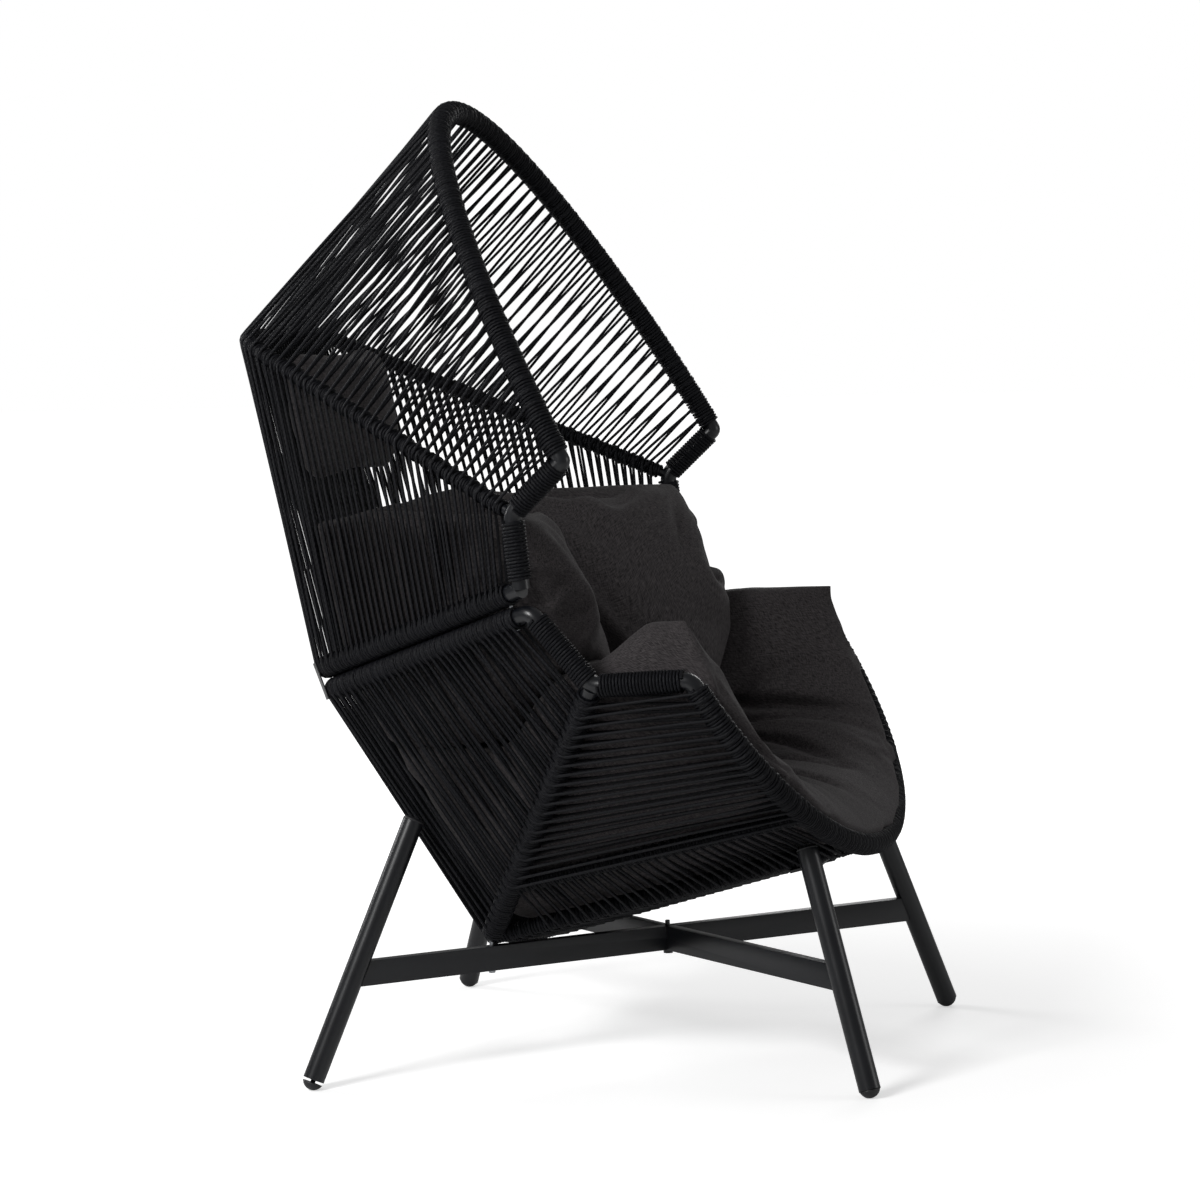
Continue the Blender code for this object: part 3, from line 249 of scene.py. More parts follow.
# %% Sizes of the shell
BACK_SHIFT = 0.1205
CORD = mm(5)
HEAVY_TUBE = mm(14)
LIGHT_TUBE = mm(8)
HEAVY_WOUND = HEAVY_TUBE + CORD
LIGHT_WOUND = LIGHT_TUBE + CORD
BAR_TOP = 0.1985
INSIDE = Vector((0, 0.077, 0.769))

ARM_SIDE = 0.490
RING_FRONT = Vector((-ARM_SIDE, 0.077, 0.769))
RING_FALL = 0.360
RING_BACK = (0.262, 0.488)
RING_CORNER = 0.080
ARM_BACK = Vector((-ARM_SIDE, -0.018, 0.657))
ARM_FRONT = Vector((-ARM_SIDE, -0.172, 0.665))
RIM_DROP = 0.371
RIM_LEAN = math.radians(31.8)
REAR_CORNER = Vector((-0.210, 0.243, BAR_TOP + LIGHT_WOUND + mm(0.3)))
REAR_BOW = (0.165, 0.036)
RAIL_FRONT_SIDE = 0.200
RAIL_BELOW_RIM = 0.009
FOLD_ON_STRUT = 0.79
FOLD_RIM_ANGLE = math.radians(46)

RING_SPACING = 2 * HEAVY_WOUND + mm(0.8)
RING_NORMAL = Vector((0, RING_FALL, 1)).normalized()
POST_TOP = Vector((-0.488, 0.102, 0.921))
HOOD_FOOT = Vector((-0.495, 0.018, 1.000))
HOOD_HEIGHT = 0.633
HOOD_LEAN = math.radians(28.95)
BELT_RISE = 0.500
BELT_BACK = (0.195, 0.645)
BELT_CORNER = 0.100


def mirrored(point):
    """The point on the other side of the chair."""
    return Vector((-point.x, point.y, point.z))


def rounded_u(front, back, rise, corner_radius, corner_steps=14):
    """Points from the right front end round a straight back to the left front end."""
    corner = Vector((-back[0], back[1], 0))
    level_front = Vector((front.x, front.y, 0))
    side_way = (level_front - corner).normalized()
    back_way = Vector((1, 0, 0))
    half_angle = side_way.angle(back_way) / 2
    centre = corner + (side_way + back_way).normalized() * corner_radius / math.sin(half_angle)
    arm = corner + side_way * corner_radius / math.tan(half_angle) - centre
    turn = math.pi - 2 * half_angle
    half = [level_front]
    for step in range(corner_steps + 1):
        half.append(centre + Matrix.Rotation(-turn * step / corner_steps, 3, "Z") @ arm)
    route = half + [mirrored(point) for point in reversed(half)]
    for point in route:
        point.z = front.z + rise * (point.y - front.y)
    return route


def rim_point(angle):
    """Point of the front rim, 0 at the right arm and pi at the left one."""
    drop = RIM_DROP * math.sin(angle)
    fall = Vector((0, math.sin(RIM_LEAN), math.cos(RIM_LEAN))) * drop
    return Vector((-ARM_SIDE * math.cos(angle), ARM_FRONT.y, ARM_FRONT.z)) - fall


def hood_point(angle):
    """Point of the hood's arch, 0 at the right foot and pi at the left one."""
    rise = HOOD_HEIGHT * math.sin(angle) ** (2 / 1.5)
    lean = Vector((0, math.sin(HOOD_LEAN), math.cos(HOOD_LEAN))) * rise
    return Vector((HOOD_FOOT.x * math.cos(angle), HOOD_FOOT.y, HOOD_FOOT.z)) + lean


def spread(rule, start, end, steps):
    """Points of a rule at even angles."""
    return [rule(start + (end - start) * step / steps) for step in range(steps + 1)]


# %% [markdown]
# A welded tube has no knife-sharp corner, so each corner gets a short bend. Distances along a
# route say where a winding starts and stops.

# %% Bends and distances
def run_lengths(points):
    """Length covered up to each point of a route."""
    lengths = [0.0]
    for start, end in zip(points, points[1:]):
        lengths.append(lengths[-1] + (end - start).length)
    return lengths


def at_distance(points, distance):
    """Place and direction at a distance along a route."""
    lengths = run_lengths(points)
    index = 0
    while index < len(points) - 2 and lengths[index + 1] < distance:
        index += 1
    way = (points[index + 1] - points[index]).normalized()
    return points[index] + way * (distance - lengths[index]), way


def at_share(points, share):
    """Place at a share of a route's length."""
    return at_distance(points, run_lengths(points)[-1] * share)[0]


def trimmed(points, from_start, from_end):
    """A route with a length taken off each end."""
    lengths = run_lengths(points)
    end = lengths[-1] - from_end
    inner = [point for point, length in zip(points, lengths) if from_start < length < end]
    return [at_distance(points, from_start)[0], *inner, at_distance(points, end)[0]]


def bent(points, radius=mm(16), steps=5):
    """A route whose corners are rounded to short bends."""
    route = [points[0]]
    for before, corner, after in zip(points, points[1:], points[2:]):
        start_way = (before - corner).normalized()
        end_way = (after - corner).normalized()
        reach = min(radius, (before - corner).length / 2, (after - corner).length / 2)
        start, end = corner + start_way * reach, corner + end_way * reach
        for step in range(steps + 1):
            share = step / steps
            route.append(start.lerp(corner, share).lerp(corner.lerp(end, share), share))
    route.append(points[-1])
    return route


# %% All routes, for the right side and in whole
seat_ring = rounded_u(RING_FRONT, RING_BACK, -RING_FALL, RING_CORNER)
hood_ring = [point + RING_NORMAL * RING_SPACING for point in seat_ring]
belt = rounded_u(POST_TOP, BELT_BACK, BELT_RISE, BELT_CORNER)
hood_arch = spread(hood_point, 0, math.pi, 72)
front_rim = spread(rim_point, 0, math.pi, 60)
side_rim = spread(rim_point, 0, FOLD_RIM_ANGLE, 24)
strut = [ARM_BACK, REAR_CORNER]
fold_rail = [ARM_BACK.lerp(REAR_CORNER, FOLD_ON_STRUT), rim_point(FOLD_RIM_ANGLE)]
rail_front = rim_point(math.acos(RAIL_FRONT_SIDE / ARM_SIDE))
rail_front.z -= RAIL_BELOW_RIM
bottom_rail = [REAR_CORNER, rail_front]
bow_start = Vector((-REAR_BOW[0], REAR_CORNER.y, REAR_CORNER.z))
bow_middle = Vector((0, REAR_CORNER.y, REAR_CORNER.z - REAR_BOW[1]))
rear_cross = [REAR_CORNER, bow_start, bow_middle, mirrored(bow_start), mirrored(REAR_CORNER)]
keel = [bow_middle, rim_point(math.pi / 2)]
hood_post = [hood_ring[0], POST_TOP, HOOD_FOOT]
rim_length, arch_length = [run_lengths(route)[-1] for route in (front_rim, hood_arch)]
print("rim length", round(rim_length, 3), "arch length", round(arch_length, 3))


def on_side(route, side):
    """A right-hand route as it is, or mirrored for the left."""
    return route if side == "right" else [mirrored(point) for point in route]


# %% [markdown]
# ## Geometry Nodes that follow a route
#
# Tube, winding and cord wall all follow a route, which is a job for Geometry Nodes: one tree
# serves every tube, and its inputs carry the real sizes. A route goes in as a curve, and the
# finished mesh comes out with its material set. The result is turned into a plain mesh, and the
# curve is dropped.

# %% Run a tree on a route
TUBE_SIDES = 24


def new_tree(name, sockets):
    """A Geometry Nodes tree with named inputs, a way to add its nodes, and the inputs' sockets."""
    tree = bpy.data.node_groups.new(name, "GeometryNodeTree")
    tree.is_modifier = True
    for label, kind in {"Geometry": "Geometry", **sockets, "Finish": "Material"}.items():
        tree.interface.new_socket(label, in_out="INPUT", socket_type="NodeSocket" + kind)
    tree.interface.new_socket("Geometry", in_out="OUTPUT", socket_type="NodeSocketGeometry")
    return tree, partial(add_node, tree), add_node(tree, "NodeGroupInput").outputs


def close_tree(add, shape, finish):
    """End a tree: real geometry, smooth faces, one material."""
    smooth = add("SetShadeSmooth", {"Geometry": shape})
    real = add("RealizeInstances", {"Geometry": smooth})
    dressed = add("SetMaterial", {"Geometry": real, "Material": finish})
    add("NodeGroupOutput", [dressed])


def placed(name, data):
    """A new object in the scene, which carries some data."""
    made = bpy.data.objects.new(name, data)
    bpy.context.collection.objects.link(made)
    return made


def frozen(host):
    """The mesh that an object's modifiers make. The object itself is dropped."""
    view_layer = bpy.context.evaluated_depsgraph_get()
    mesh = bpy.data.meshes.new_from_object(host.evaluated_get(view_layer), depsgraph=view_layer)
    bpy.data.objects.remove(host)
    return mesh


def outward(mesh):
    """Turn a closed mesh the right way out if it is inside out."""
    shape = bmesh.new()
    shape.from_mesh(mesh)
    if shape.calc_volume(signed=True) < 0:
        bmesh.ops.reverse_faces(shape, faces=shape.faces)
        shape.to_mesh(mesh)
    shape.free()


def dress(piece, stands_for=(), body=CHAIR):
    """Let a finished piece ride on a body, and hide the nodes it stands for."""
    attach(piece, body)
    if stands_for:
        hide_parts(*stands_for)


def grow(name, tree, routes, slot, stands_for=(), **sizes):
    """Run a tree on one or more routes and keep the result as a plain piece on the chair."""
    curve = bpy.data.curves.new(name + "_route", "CURVE")
    curve.dimensions = "3D"
    for route in routes:
        spline = curve.splines.new("POLY")
        spline.points.add(len(route) - 1)
        for spline_point, point in zip(spline.points, route):
            spline_point.co = (point.x, point.y - BACK_SHIFT, point.z, 1)
    host = placed(name + "_route", curve)
    maker = host.modifiers.new("maker", "NODES")
    maker.node_group = tree
    for item in tree.interface.items_tree:
        if item.in_out == "INPUT" and item.name.replace(" ", "_") in sizes:
            maker[item.identifier] = sizes[item.name.replace(" ", "_")]
    mesh = frozen(host)
    outward(mesh)
    print(name, len(mesh.polygons), "faces")
    dress(placed(name, mesh), stands_for)


# %% [markdown]
# ### Bare tube
#
# The tree sweeps a circle along the route and closes the ends.

# %% Tube tree
tube_tree, add, given = new_tree("bare_tube", {"Tube Radius": "Float", "Sides": "Int"})
ring = add("CurvePrimitiveCircle", {"Resolution": given["Sides"], "Radius": given["Tube Radius"]})
swept = add("CurveToMesh", {"Curve": given["Geometry"], "Profile Curve": ring, "Fill Caps": True})
close_tree(add, swept, given["Finish"])


def add_tube(name, route, radius, stands_for=()):
    """A bare painted tube."""
    grow(name, tube_tree, [route], "painted_frame", stands_for,
         Tube_Radius=radius, Sides=TUBE_SIDES, Finish=powder_coat)


# %% [markdown]
# ### Wound cord
#
# The route is cut into steps, each a fraction of a turn, and every step's point is pushed out
# square to the tube at its own angle. That makes a helix of real length, which a small circle then
# turns into cord. A hand never lays turns quite evenly, so a slow noise lets them wander a little.

# %% Winding tree
TURN_STEP = mm(5.3)
TURN_POINTS = 14
CORD_SIDES = 6
TURN_WANDER = mm(1.1)
WANDER_PACE, WANDER_OUT = 0.37, 0.35


def close_cord_tree(add, line, given):
    """End a tree with cord: a circle swept along its lines, with places along and round it."""
    spline = add("SplineParameter").outputs
    radius = add("Math", [given["Cord Diameter"], 0.5], "MULTIPLY")
    ring = add("CurvePrimitiveCircle", {"Resolution": given["Cord Sides"], "Radius": radius})
    marked = []
    for shape, name, value in ((line, "cord_along", "Length"), (ring, "cord_around", "Factor")):
        marked.append(add("StoreNamedAttribute",
                          {"Geometry": shape, "Name": name, "Value": spline[value]},
                          data_type="FLOAT", domain="POINT"))
    swept = add("CurveToMesh", {"Curve": marked[0], "Profile Curve": marked[1], "Fill Caps": True})
    close_tree(add, swept, given["Finish"])


winding_tree, add, given = new_tree("wound_cord", {
    "Tube Radius": "Float", "Cord Diameter": "Float", "Turn Step": "Float",
    "Turn Points": "Int", "Wander": "Float", "Cord Sides": "Int",
})
point_step = add("Math", [given["Turn Step"], given["Turn Points"]], "DIVIDE")
stepped = add("ResampleCurve", {"Curve": given["Geometry"], "Length": point_step}, mode="LENGTH")
reached = add("SplineParameter").outputs["Length"]
turns = add("Math", [reached, given["Turn Step"]], "DIVIDE")
angle = add("Math", [turns, math.tau], "MULTIPLY")
normal, tangent = add("InputNormal"), add("InputTangent")
sideways = add("VectorMath", [tangent, normal], "CROSS_PRODUCT")
first = add("VectorMath", {0: normal, "Scale": add("Math", [angle], "COSINE")}, "SCALE")
second = add("VectorMath", {0: sideways, "Scale": add("Math", [angle], "SINE")}, "SCALE")
spoke = add("VectorMath", [first, second], "ADD")
cord_radius = add("Math", [given["Cord Diameter"], 0.5], "MULTIPLY")
layer = add("Math", [given["Tube Radius"], cord_radius], "ADD")
unevenness = add("TexNoise", {"W": turns, "Scale": WANDER_PACE, "Detail": 1.0},
                 noise_dimensions="1D")
centred = add("Math", [unevenness, 0.5], "SUBTRACT")
wander = add("Math", [centred, given["Wander"]], "MULTIPLY")
uneven_layer = add("Math", [wander, WANDER_OUT, layer], "MULTIPLY_ADD")
pushed = add("VectorMath", {0: spoke, "Scale": uneven_layer}, "SCALE")
slid = add("VectorMath", {0: tangent, "Scale": wander}, "SCALE")
offset = add("VectorMath", [pushed, slid], "ADD")
helix = add("SetPosition", {"Geometry": stepped, "Offset": offset})
close_cord_tree(add, helix, given)


def add_winding(name, route, tube_radius, stands_for=()):
    """Close turns of cord round a tube."""
    grow(name, winding_tree, [route], "black_cord", stands_for,
         Tube_Radius=tube_radius, Cord_Diameter=CORD, Turn_Step=TURN_STEP, Turn_Points=TURN_POINTS,
         Wander=TURN_WANDER, Cord_Sides=CORD_SIDES, Finish=cord_finish)


# %% [markdown]
# ### A wall of cords
#
# Each cord of a wall leaves one tube's winding, runs straight to the next tube, and joins its
# winding. The tree makes one short line per cord and bends all of them by the same rule: the ends
# lie round the tubes and the middle runs from one tangent to the other. A real wall is one cord
# that zigzags: it crosses over the outer faces of both tubes, goes round, and comes back over
# their inner faces to the place where it set out. So there is an outer layer and an inner one that
# slants by one step. A point inside the chair tells which face is which. Cords slacken a little
# with use, so each has its own small sag.

# %% Wall tree
LINE_POINTS = 30
WRAP_SHARE = 0.27
WRAP_ANGLE = math.radians(185)
SLACK_PACE = 37.0
WALL_CORD_SIDES = 8

wall_tree, add, given = new_tree("cord_wall", {
    "Cords": "Int", "Cord Diameter": "Float", "Cord Sides": "Int",
    "Start A": "Float", "End A": "Float", "Radius A": "Float",
    "Start B": "Float", "End B": "Float", "Radius B": "Float",
    "Inside": "Vector", "Layer": "Float", "Sag": "Float", "Seed": "Float",
})
last = add("Math", [given["Cords"], 1.0], "SUBTRACT")
share = add("Math", [add("InputIndex"), last], "DIVIDE")
places = add("Points", {"Count": given["Cords"]})
numbered = add("StoreNamedAttribute", {"Geometry": places, "Name": "wall_share", "Value": share},
               data_type="FLOAT", domain="POINT")
line = add("CurvePrimitiveLine", {"Start": (0, 0, 0), "End": (1, 0, 0)})
fine_line = add("ResampleCurve", {"Curve": line, "Count": LINE_POINTS}, mode="COUNT")
lines = add("InstanceOnPoints", {"Points": numbered, "Instance": fine_line})
real_lines = add("RealizeInstances", {"Geometry": lines})
wall_share = add("InputNamedAttribute", {"Name": "wall_share"}, data_type="FLOAT").outputs[0]
line_share = add("SeparateXYZ", [add("InputPosition")]).outputs[0]


def rail(index, name):
    """Place and direction on rail A or B."""
    factor = add("MapRange", {"Value": wall_share, "To Min": given["Start " + name],
                              "To Max": given["End " + name]})
    return add("SampleCurve", {"Curves": given["Geometry"], "Factor": factor, "Curve Index": index},
               mode="FACTOR", data_type="FLOAT", use_all_curves=False).outputs


def wrapped(sampled, radius, towards, from_rail):
    """Point of a cord on its way round a rail into the winding, and the face it lies on."""
    wrap = add("Math", [from_rail, WRAP_SHARE], "DIVIDE")
    wrap = add("Math", [1.0, wrap], "SUBTRACT", use_clamp=True)
    place, way = sampled["Position"], sampled["Tangent"]
    square = add("VectorMath", [add("VectorMath", [way, towards], "CROSS_PRODUCT")], "NORMALIZE")
    outwards = add("VectorMath", [place, given["Inside"]], "SUBTRACT")
    seen = add("VectorMath", [square, outwards], "DOT_PRODUCT").outputs["Value"]
    layer = add("Math", [add("Math", [seen], "SIGN"), given["Layer"]], "MULTIPLY")
    face = add("VectorMath", {0: square, "Scale": layer}, "SCALE")
    level = add("VectorMath", [add("VectorMath", [face, way], "CROSS_PRODUCT")], "NORMALIZE")
    ahead = add("VectorMath", [level, towards], "DOT_PRODUCT").outputs["Value"]
    level = add("VectorMath", {0: level, "Scale": add("Math", [ahead], "SIGN")}, "SCALE")
    turn = add("Math", [wrap, WRAP_ANGLE], "MULTIPLY")
    reach = add("Math", [add("Math", [wrap, 3.0], "POWER"), -CORD * 0.5, radius], "MULTIPLY_ADD")
    out, back = [add("Math", [add("Math", [turn], wave), reach], "MULTIPLY")
                 for wave in ("COSINE", "SINE")]
    raised = add("VectorMath", [place, add("VectorMath", {0: face, "Scale": out}, "SCALE")], "ADD")
    lowered = add("VectorMath", {0: level, "Scale": back}, "SCALE")
    return add("VectorMath", [raised, lowered], "SUBTRACT"), face


rail_a, rail_b = rail(0, "A"), rail(1, "B")
span = add("VectorMath", [rail_b["Position"], rail_a["Position"]], "SUBTRACT")
across = add("VectorMath", [span], "NORMALIZE")
back_across = add("VectorMath", {0: across, "Scale": -1.0}, "SCALE")
share_left = add("Math", [1.0, line_share], "SUBTRACT")
end_a, face_a = wrapped(rail_a, given["Radius A"], across, line_share)
end_b, face_b = wrapped(rail_b, given["Radius B"], back_across, share_left)
run = add("Math", [line_share, WRAP_SHARE], "SUBTRACT")
run_share = add("Math", [run, 1 - 2 * WRAP_SHARE], "DIVIDE", use_clamp=True)
mixed = add("Mix", {"Factor": run_share, VECTOR_A: end_a, VECTOR_B: end_b}, data_type="VECTOR")
straight = mixed.outputs[VECTOR_MIXED]

# %% Sag of a wall's cords
seed_place = add("Math", [add("Math", [wall_share, SLACK_PACE], "MULTIPLY"), given["Seed"]], "ADD")
slack = add("TexNoise", {"W": seed_place, "Scale": 1.0, "Detail": 0.0}, noise_dimensions="1D")
slack_share = add("Math", [slack, 0.5], "SUBTRACT")
bow = add("Math", [add("Math", [run_share, math.pi], "MULTIPLY")], "SINE")
sag = add("Math", [add("Math", [bow, slack_share], "MULTIPLY"), given["Sag"]], "MULTIPLY")
run_way = add("VectorMath", [add("VectorMath", [face_a, across], "CROSS_PRODUCT")], "NORMALIZE")
side_sag = add("VectorMath", {0: run_way, "Scale": sag}, "SCALE")
in_sag = add("VectorMath", {0: face_a, "Scale": add("Math", [sag, -0.5], "MULTIPLY")}, "SCALE")
sagged = add("VectorMath", [straight, add("VectorMath", [side_sag, in_sag], "ADD")], "ADD")
bent_lines = add("SetPosition", {"Geometry": real_lines, "Position": sagged})
close_cord_tree(add, bent_lines, given)


def cord_height(radius):
    """Height of a wall's cords over a tube's middle. Two walls share each light tube."""
    return radius + CORD / 2 + (mm(0.9) if radius == HEAVY_TUBE else mm(2.2))


def add_wall(name, count, rail_a, shares_a, radius_a, rail_b, shares_b, radius_b,
             stands_for=(), seed=1.0, sag=mm(5)):
    """Both layers of a wall of cords between two rails. Radii are the bare tubes' own."""
    inside = (INSIDE.x, INSIDE.y - BACK_SHIFT, INSIDE.z)
    for layer, layer_name in ((1.0, "outer"), (-1.0, "inner")):
        step_a, step_b = [(shares[1] - shares[0]) / (count - 1) * (layer < 0)
                          for shares in (shares_a, shares_b)]
        grow(f"{name}_{layer_name}", wall_tree, [rail_a, rail_b], "black_cord",
             stands_for if layer > 0 else (),
             Cords=count - (layer < 0), Cord_Diameter=CORD, Cord_Sides=WALL_CORD_SIDES,
             Start_A=shares_a[0], End_A=shares_a[1] - step_a, Radius_A=cord_height(radius_a),
             Start_B=shares_b[0] + step_b, End_B=shares_b[1], Radius_B=cord_height(radius_b),
             Inside=inside, Layer=layer, Sag=sag, Seed=seed + layer * 0.3, Finish=cord_finish)


# %% [markdown]
# ## Tubes of the shell and of the hood
#
# The tubes show only at the welded corners, but there they catch the light, so they are made round
# and their corners are bent. The weld fills each corner to a soft knuckle.

# %% Shell and hood tubes
SMALL_BEND = mm(13)
arm_route = bent([rim_point(0.11), ARM_FRONT, ARM_BACK, RING_FRONT, seat_ring[1]], SMALL_BEND)[:-1]
shell_route = arm_route + seat_ring[1:-1] + [mirrored(point) for point in reversed(arm_route)]
post_and_arch = [hood_ring[0], POST_TOP, *hood_arch, mirrored(POST_TOP), mirrored(hood_ring[0])]
hood_route = [*bent(post_and_arch[:4], SMALL_BEND)[:-1], *post_and_arch[3:-3],
              *bent(post_and_arch[-4:], SMALL_BEND)[1:]]
add_tube("shell_top_tube", shell_route, HEAVY_TUBE, ["seat_ring_tube"])
add_tube("shell_rim_tube", trimmed(front_rim, mm(12), mm(12)), HEAVY_TUBE, ["front_rim_tube"])
add_tube("hood_bottom_tube", hood_ring, HEAVY_TUBE, ["hood_ring_tube"])
add_tube("hood_front_tube", hood_route, HEAVY_TUBE, ["hood_arch_tube"])
add_tube("hood_belt_core", trimmed(belt, mm(4), mm(4)), LIGHT_TUBE, ["hood_belt_tube"])
for side in SIDES:
    add_tube("shell_strut_" + side, trimmed(on_side(strut, side), mm(3), mm(14)), HEAVY_TUBE,
             ["side_strut_" + side])
    add_tube("shell_fold_core_" + side, trimmed(on_side(fold_rail, side), mm(16), mm(16)),
             LIGHT_TUBE)
    add_tube("shell_rail_core_" + side, trimmed(on_side(bottom_rail, side), 0, mm(8)), LIGHT_TUBE)
add_tube("shell_cross_core", bent(rear_cross, mm(40)), LIGHT_TUBE)
add_tube("shell_keel_core", trimmed(keel, mm(4), mm(16)), LIGHT_TUBE)

# %% [markdown]
# ## Close windings
#
# Each winding starts a thumb's width from a welded corner, where the real one is knotted off. A
# row gives the bare lengths at the route's start and end, and the node that the winding stands
# for.

# %% Windings on every tube
KNUCKLE, KNOT, BOLT_BARE = mm(13), mm(11), mm(26)
add_winding("rim_winding", trimmed(front_rim, mm(15), mm(15)), HEAVY_TUBE, ["front_rim_winding"])
for name, route, bare, radius, node in (
        ("shell_ring_winding", seat_ring, BOLT_BARE, HEAVY_TUBE, "seat_ring_winding"),
        ("hood_bottom_winding", hood_ring, BOLT_BARE, HEAVY_TUBE, "hood_ring_winding"),
        ("hood_front_winding", hood_arch, KNUCKLE, HEAVY_TUBE, "hood_arch_winding"),
        ("belt_winding", belt, mm(16), LIGHT_TUBE, "hood_belt_winding")):
    add_winding(name, trimmed(route, bare, bare), radius, [node])
for side in SIDES:
    for name, route, start, end, radius, node in (
            ("armrest_cord_", [ARM_BACK, ARM_FRONT], KNOT, KNOT, HEAVY_TUBE, "armrest_winding_"),
            ("arm_post_cord_", [RING_FRONT, ARM_BACK], KNUCKLE, KNOT, HEAVY_TUBE,
             "arm_post_winding_"),
            ("hood_post_lower_cord_", [hood_ring[0], POST_TOP], KNUCKLE, KNOT, HEAVY_TUBE, None),
            ("hood_post_upper_cord_", [POST_TOP, HOOD_FOOT], KNOT, KNOT, HEAVY_TUBE, None),
            ("strut_cord_", strut, mm(19), mm(12), HEAVY_TUBE, "side_strut_winding_"),
            ("fold_cord_", fold_rail, mm(16), mm(16), LIGHT_TUBE, "fold_rail_"),
            ("rail_cord_", bottom_rail, mm(12), mm(24), LIGHT_TUBE, None)):
        add_winding(name + side, trimmed(on_side(route, side), start, end), radius,
                    [node + side] if node else ())
add_winding("cross_cord", trimmed(rear_cross, mm(12), mm(12)), LIGHT_TUBE, ["seat_bottom_tube"])
add_winding("keel_cord", trimmed(keel, mm(14), mm(20)), LIGHT_TUBE, ["keel_tube"])

# %% [markdown]
# ## Walls of cord
#
# The counts are those of the real walls: cords leave the arch every 20 mm and the rings every 16
# mm. At the back corners no cord can lie flat between two curves, which leaves narrow slits. A row
# gives the number of cords, then for each tube the part of its length that carries cords.

# %% Hood walls and shell walls
BACK_BELT = (0.391, 0.609)
BACK_RING = (0.346, 0.654)
BIG_SAG = mm(14)
for side in SIDES:
    for name, count, rail_a, shares_a, radius_a, rail_b, shares_b, radius_b, node, *looks in (
            ("hood_top_wall_", 39, hood_arch, (0.018, 0.496), HEAVY_TUBE,
             belt, (0.016, 0.494), LIGHT_TUBE, "hood_top_cords_", 3.0),
            ("hood_side_wall_", 37, belt, (0.022, 0.3885), LIGHT_TUBE,
             hood_ring, (0.024, 0.338), HEAVY_TUBE, "hood_side_cords_", 5.0),
            ("shell_side_back_wall_", 32, seat_ring, (0.024, 0.324), HEAVY_TUBE,
             strut, (0.050, 0.955), HEAVY_TUBE, "seat_side_back_cords_", 7.0, BIG_SAG),
            ("shell_side_front_wall_", 20, strut, (0.060, 0.765), HEAVY_TUBE,
             side_rim, (0.060, 0.945), HEAVY_TUBE, "seat_side_front_cords_", 11.0),
            ("shell_low_side_wall_", 30, fold_rail, (0.030, 0.930), LIGHT_TUBE,
             bottom_rail, (0.170, 0.980), LIGHT_TUBE, None, 13.0),
            ("shell_bottom_wall_", 30, bottom_rail, (0.060, 0.860), LIGHT_TUBE,
             keel, (0.110, 0.860), LIGHT_TUBE, None, 17.0)):
        add_wall(name + side, count, on_side(rail_a, side), shares_a, radius_a,
                 on_side(rail_b, side), shares_b, radius_b, [node + side] if node else (), *looks)
add_wall("hood_back_wall", 31, belt, BACK_BELT, LIGHT_TUBE, hood_ring, BACK_RING, HEAVY_TUBE,
         ["hood_back_cords"], 19.0)
add_wall("shell_back_wall", 33, seat_ring, BACK_RING, HEAVY_TUBE, rear_cross, (0.040, 0.960),
         LIGHT_TUBE, ["seat_back_cords", "seat_bottom_cords"], 23.0)

# %% [markdown]
# ## Soft covers
#
# A cover is two flat panels of cloth sewn round the edge and filled. The surest way to its real
# form is to sew it in the same way: two flat grids joined at the edge are blown up by Blender's
# cloth solver, and the seam then puckers by itself, because a flat panel can't cover a round
# filling without folds.

# %% Sew and fill
SEAM_CREASE = 0.35


def sewn_panels(columns, rows, width, height, edge):
    """Two grids of quads joined at the edge, with a UV map in metres over the flat cut."""
    shape = bmesh.new()
    crease = shape.edges.layers.float.new("crease_edge")
    uv_layer = shape.loops.layers.uv.new("flat_cut")
    sheets = []
    for face in (1, -1):
        sheet = [[None] * (columns + 1) for _ in range(rows + 1)]
        for row in range(rows + 1):
            for column in range(columns + 1):
                if face == -1 and (row in (0, rows) or column in (0, columns)):
                    sheet[row][column] = sheets[0][row][column]
                    continue
                u, v = 2 * column / columns - 1, 2 * row / rows - 1
                inner = math.sqrt((1 - u ** 4) * (1 - v ** 4))
                place = (u * width / 2, v * height / 2, face * edge * inner)
                sheet[row][column] = shape.verts.new(place)
        sheets.append(sheet)
    for face, sheet in zip((1, -1), sheets):
        for row in range(rows):
            for column in range(columns):
                corners = [(row, column), (row, column + 1),
                           (row + 1, column + 1), (row + 1, column)]
                if face == -1:
                    corners.reverse()
                made = shape.faces.new([sheet[r][c] for r, c in corners])
                for loop, (r, c) in zip(made.loops, corners):
                    loop[uv_layer].uv = (c / columns * width + (face == -1), r / rows * height)
    rim = {sheets[0][row][column] for row in range(rows + 1) for column in range(columns + 1)
           if row in (0, rows) or column in (0, columns)}
    for edge in shape.edges:
        edge[crease] = SEAM_CREASE if edge.verts[0] in rim and edge.verts[1] in rim else 0.0
    mesh = bpy.data.meshes.new("cover")
    shape.to_mesh(mesh)
    shape.free()
    return mesh


CLOTH = {"quality": 5, "mass": 0.3, "tension_stiffness": 40, "compression_stiffness": 40,
         "shear_stiffness": 10, "bending_stiffness": 0.4, "use_pressure": True}


def filled(mesh, pressure, frames):
    """Blow a sewn cover up with the cloth solver and give the filled mesh."""
    piece = placed("cover", mesh)
    cloth = piece.modifiers.new("cloth", "CLOTH")
    for name, value in {**CLOTH, "uniform_pressure_force": pressure}.items():
        setattr(cloth.settings, name, value)
    cloth.settings.effector_weights.gravity = 0
    cloth.point_cache.frame_start, cloth.point_cache.frame_end = 1, frames
    for number in range(1, frames + 1):
        bpy.context.scene.frame_set(number)
    result = frozen(piece)
    bpy.context.scene.frame_set(1)
    return result


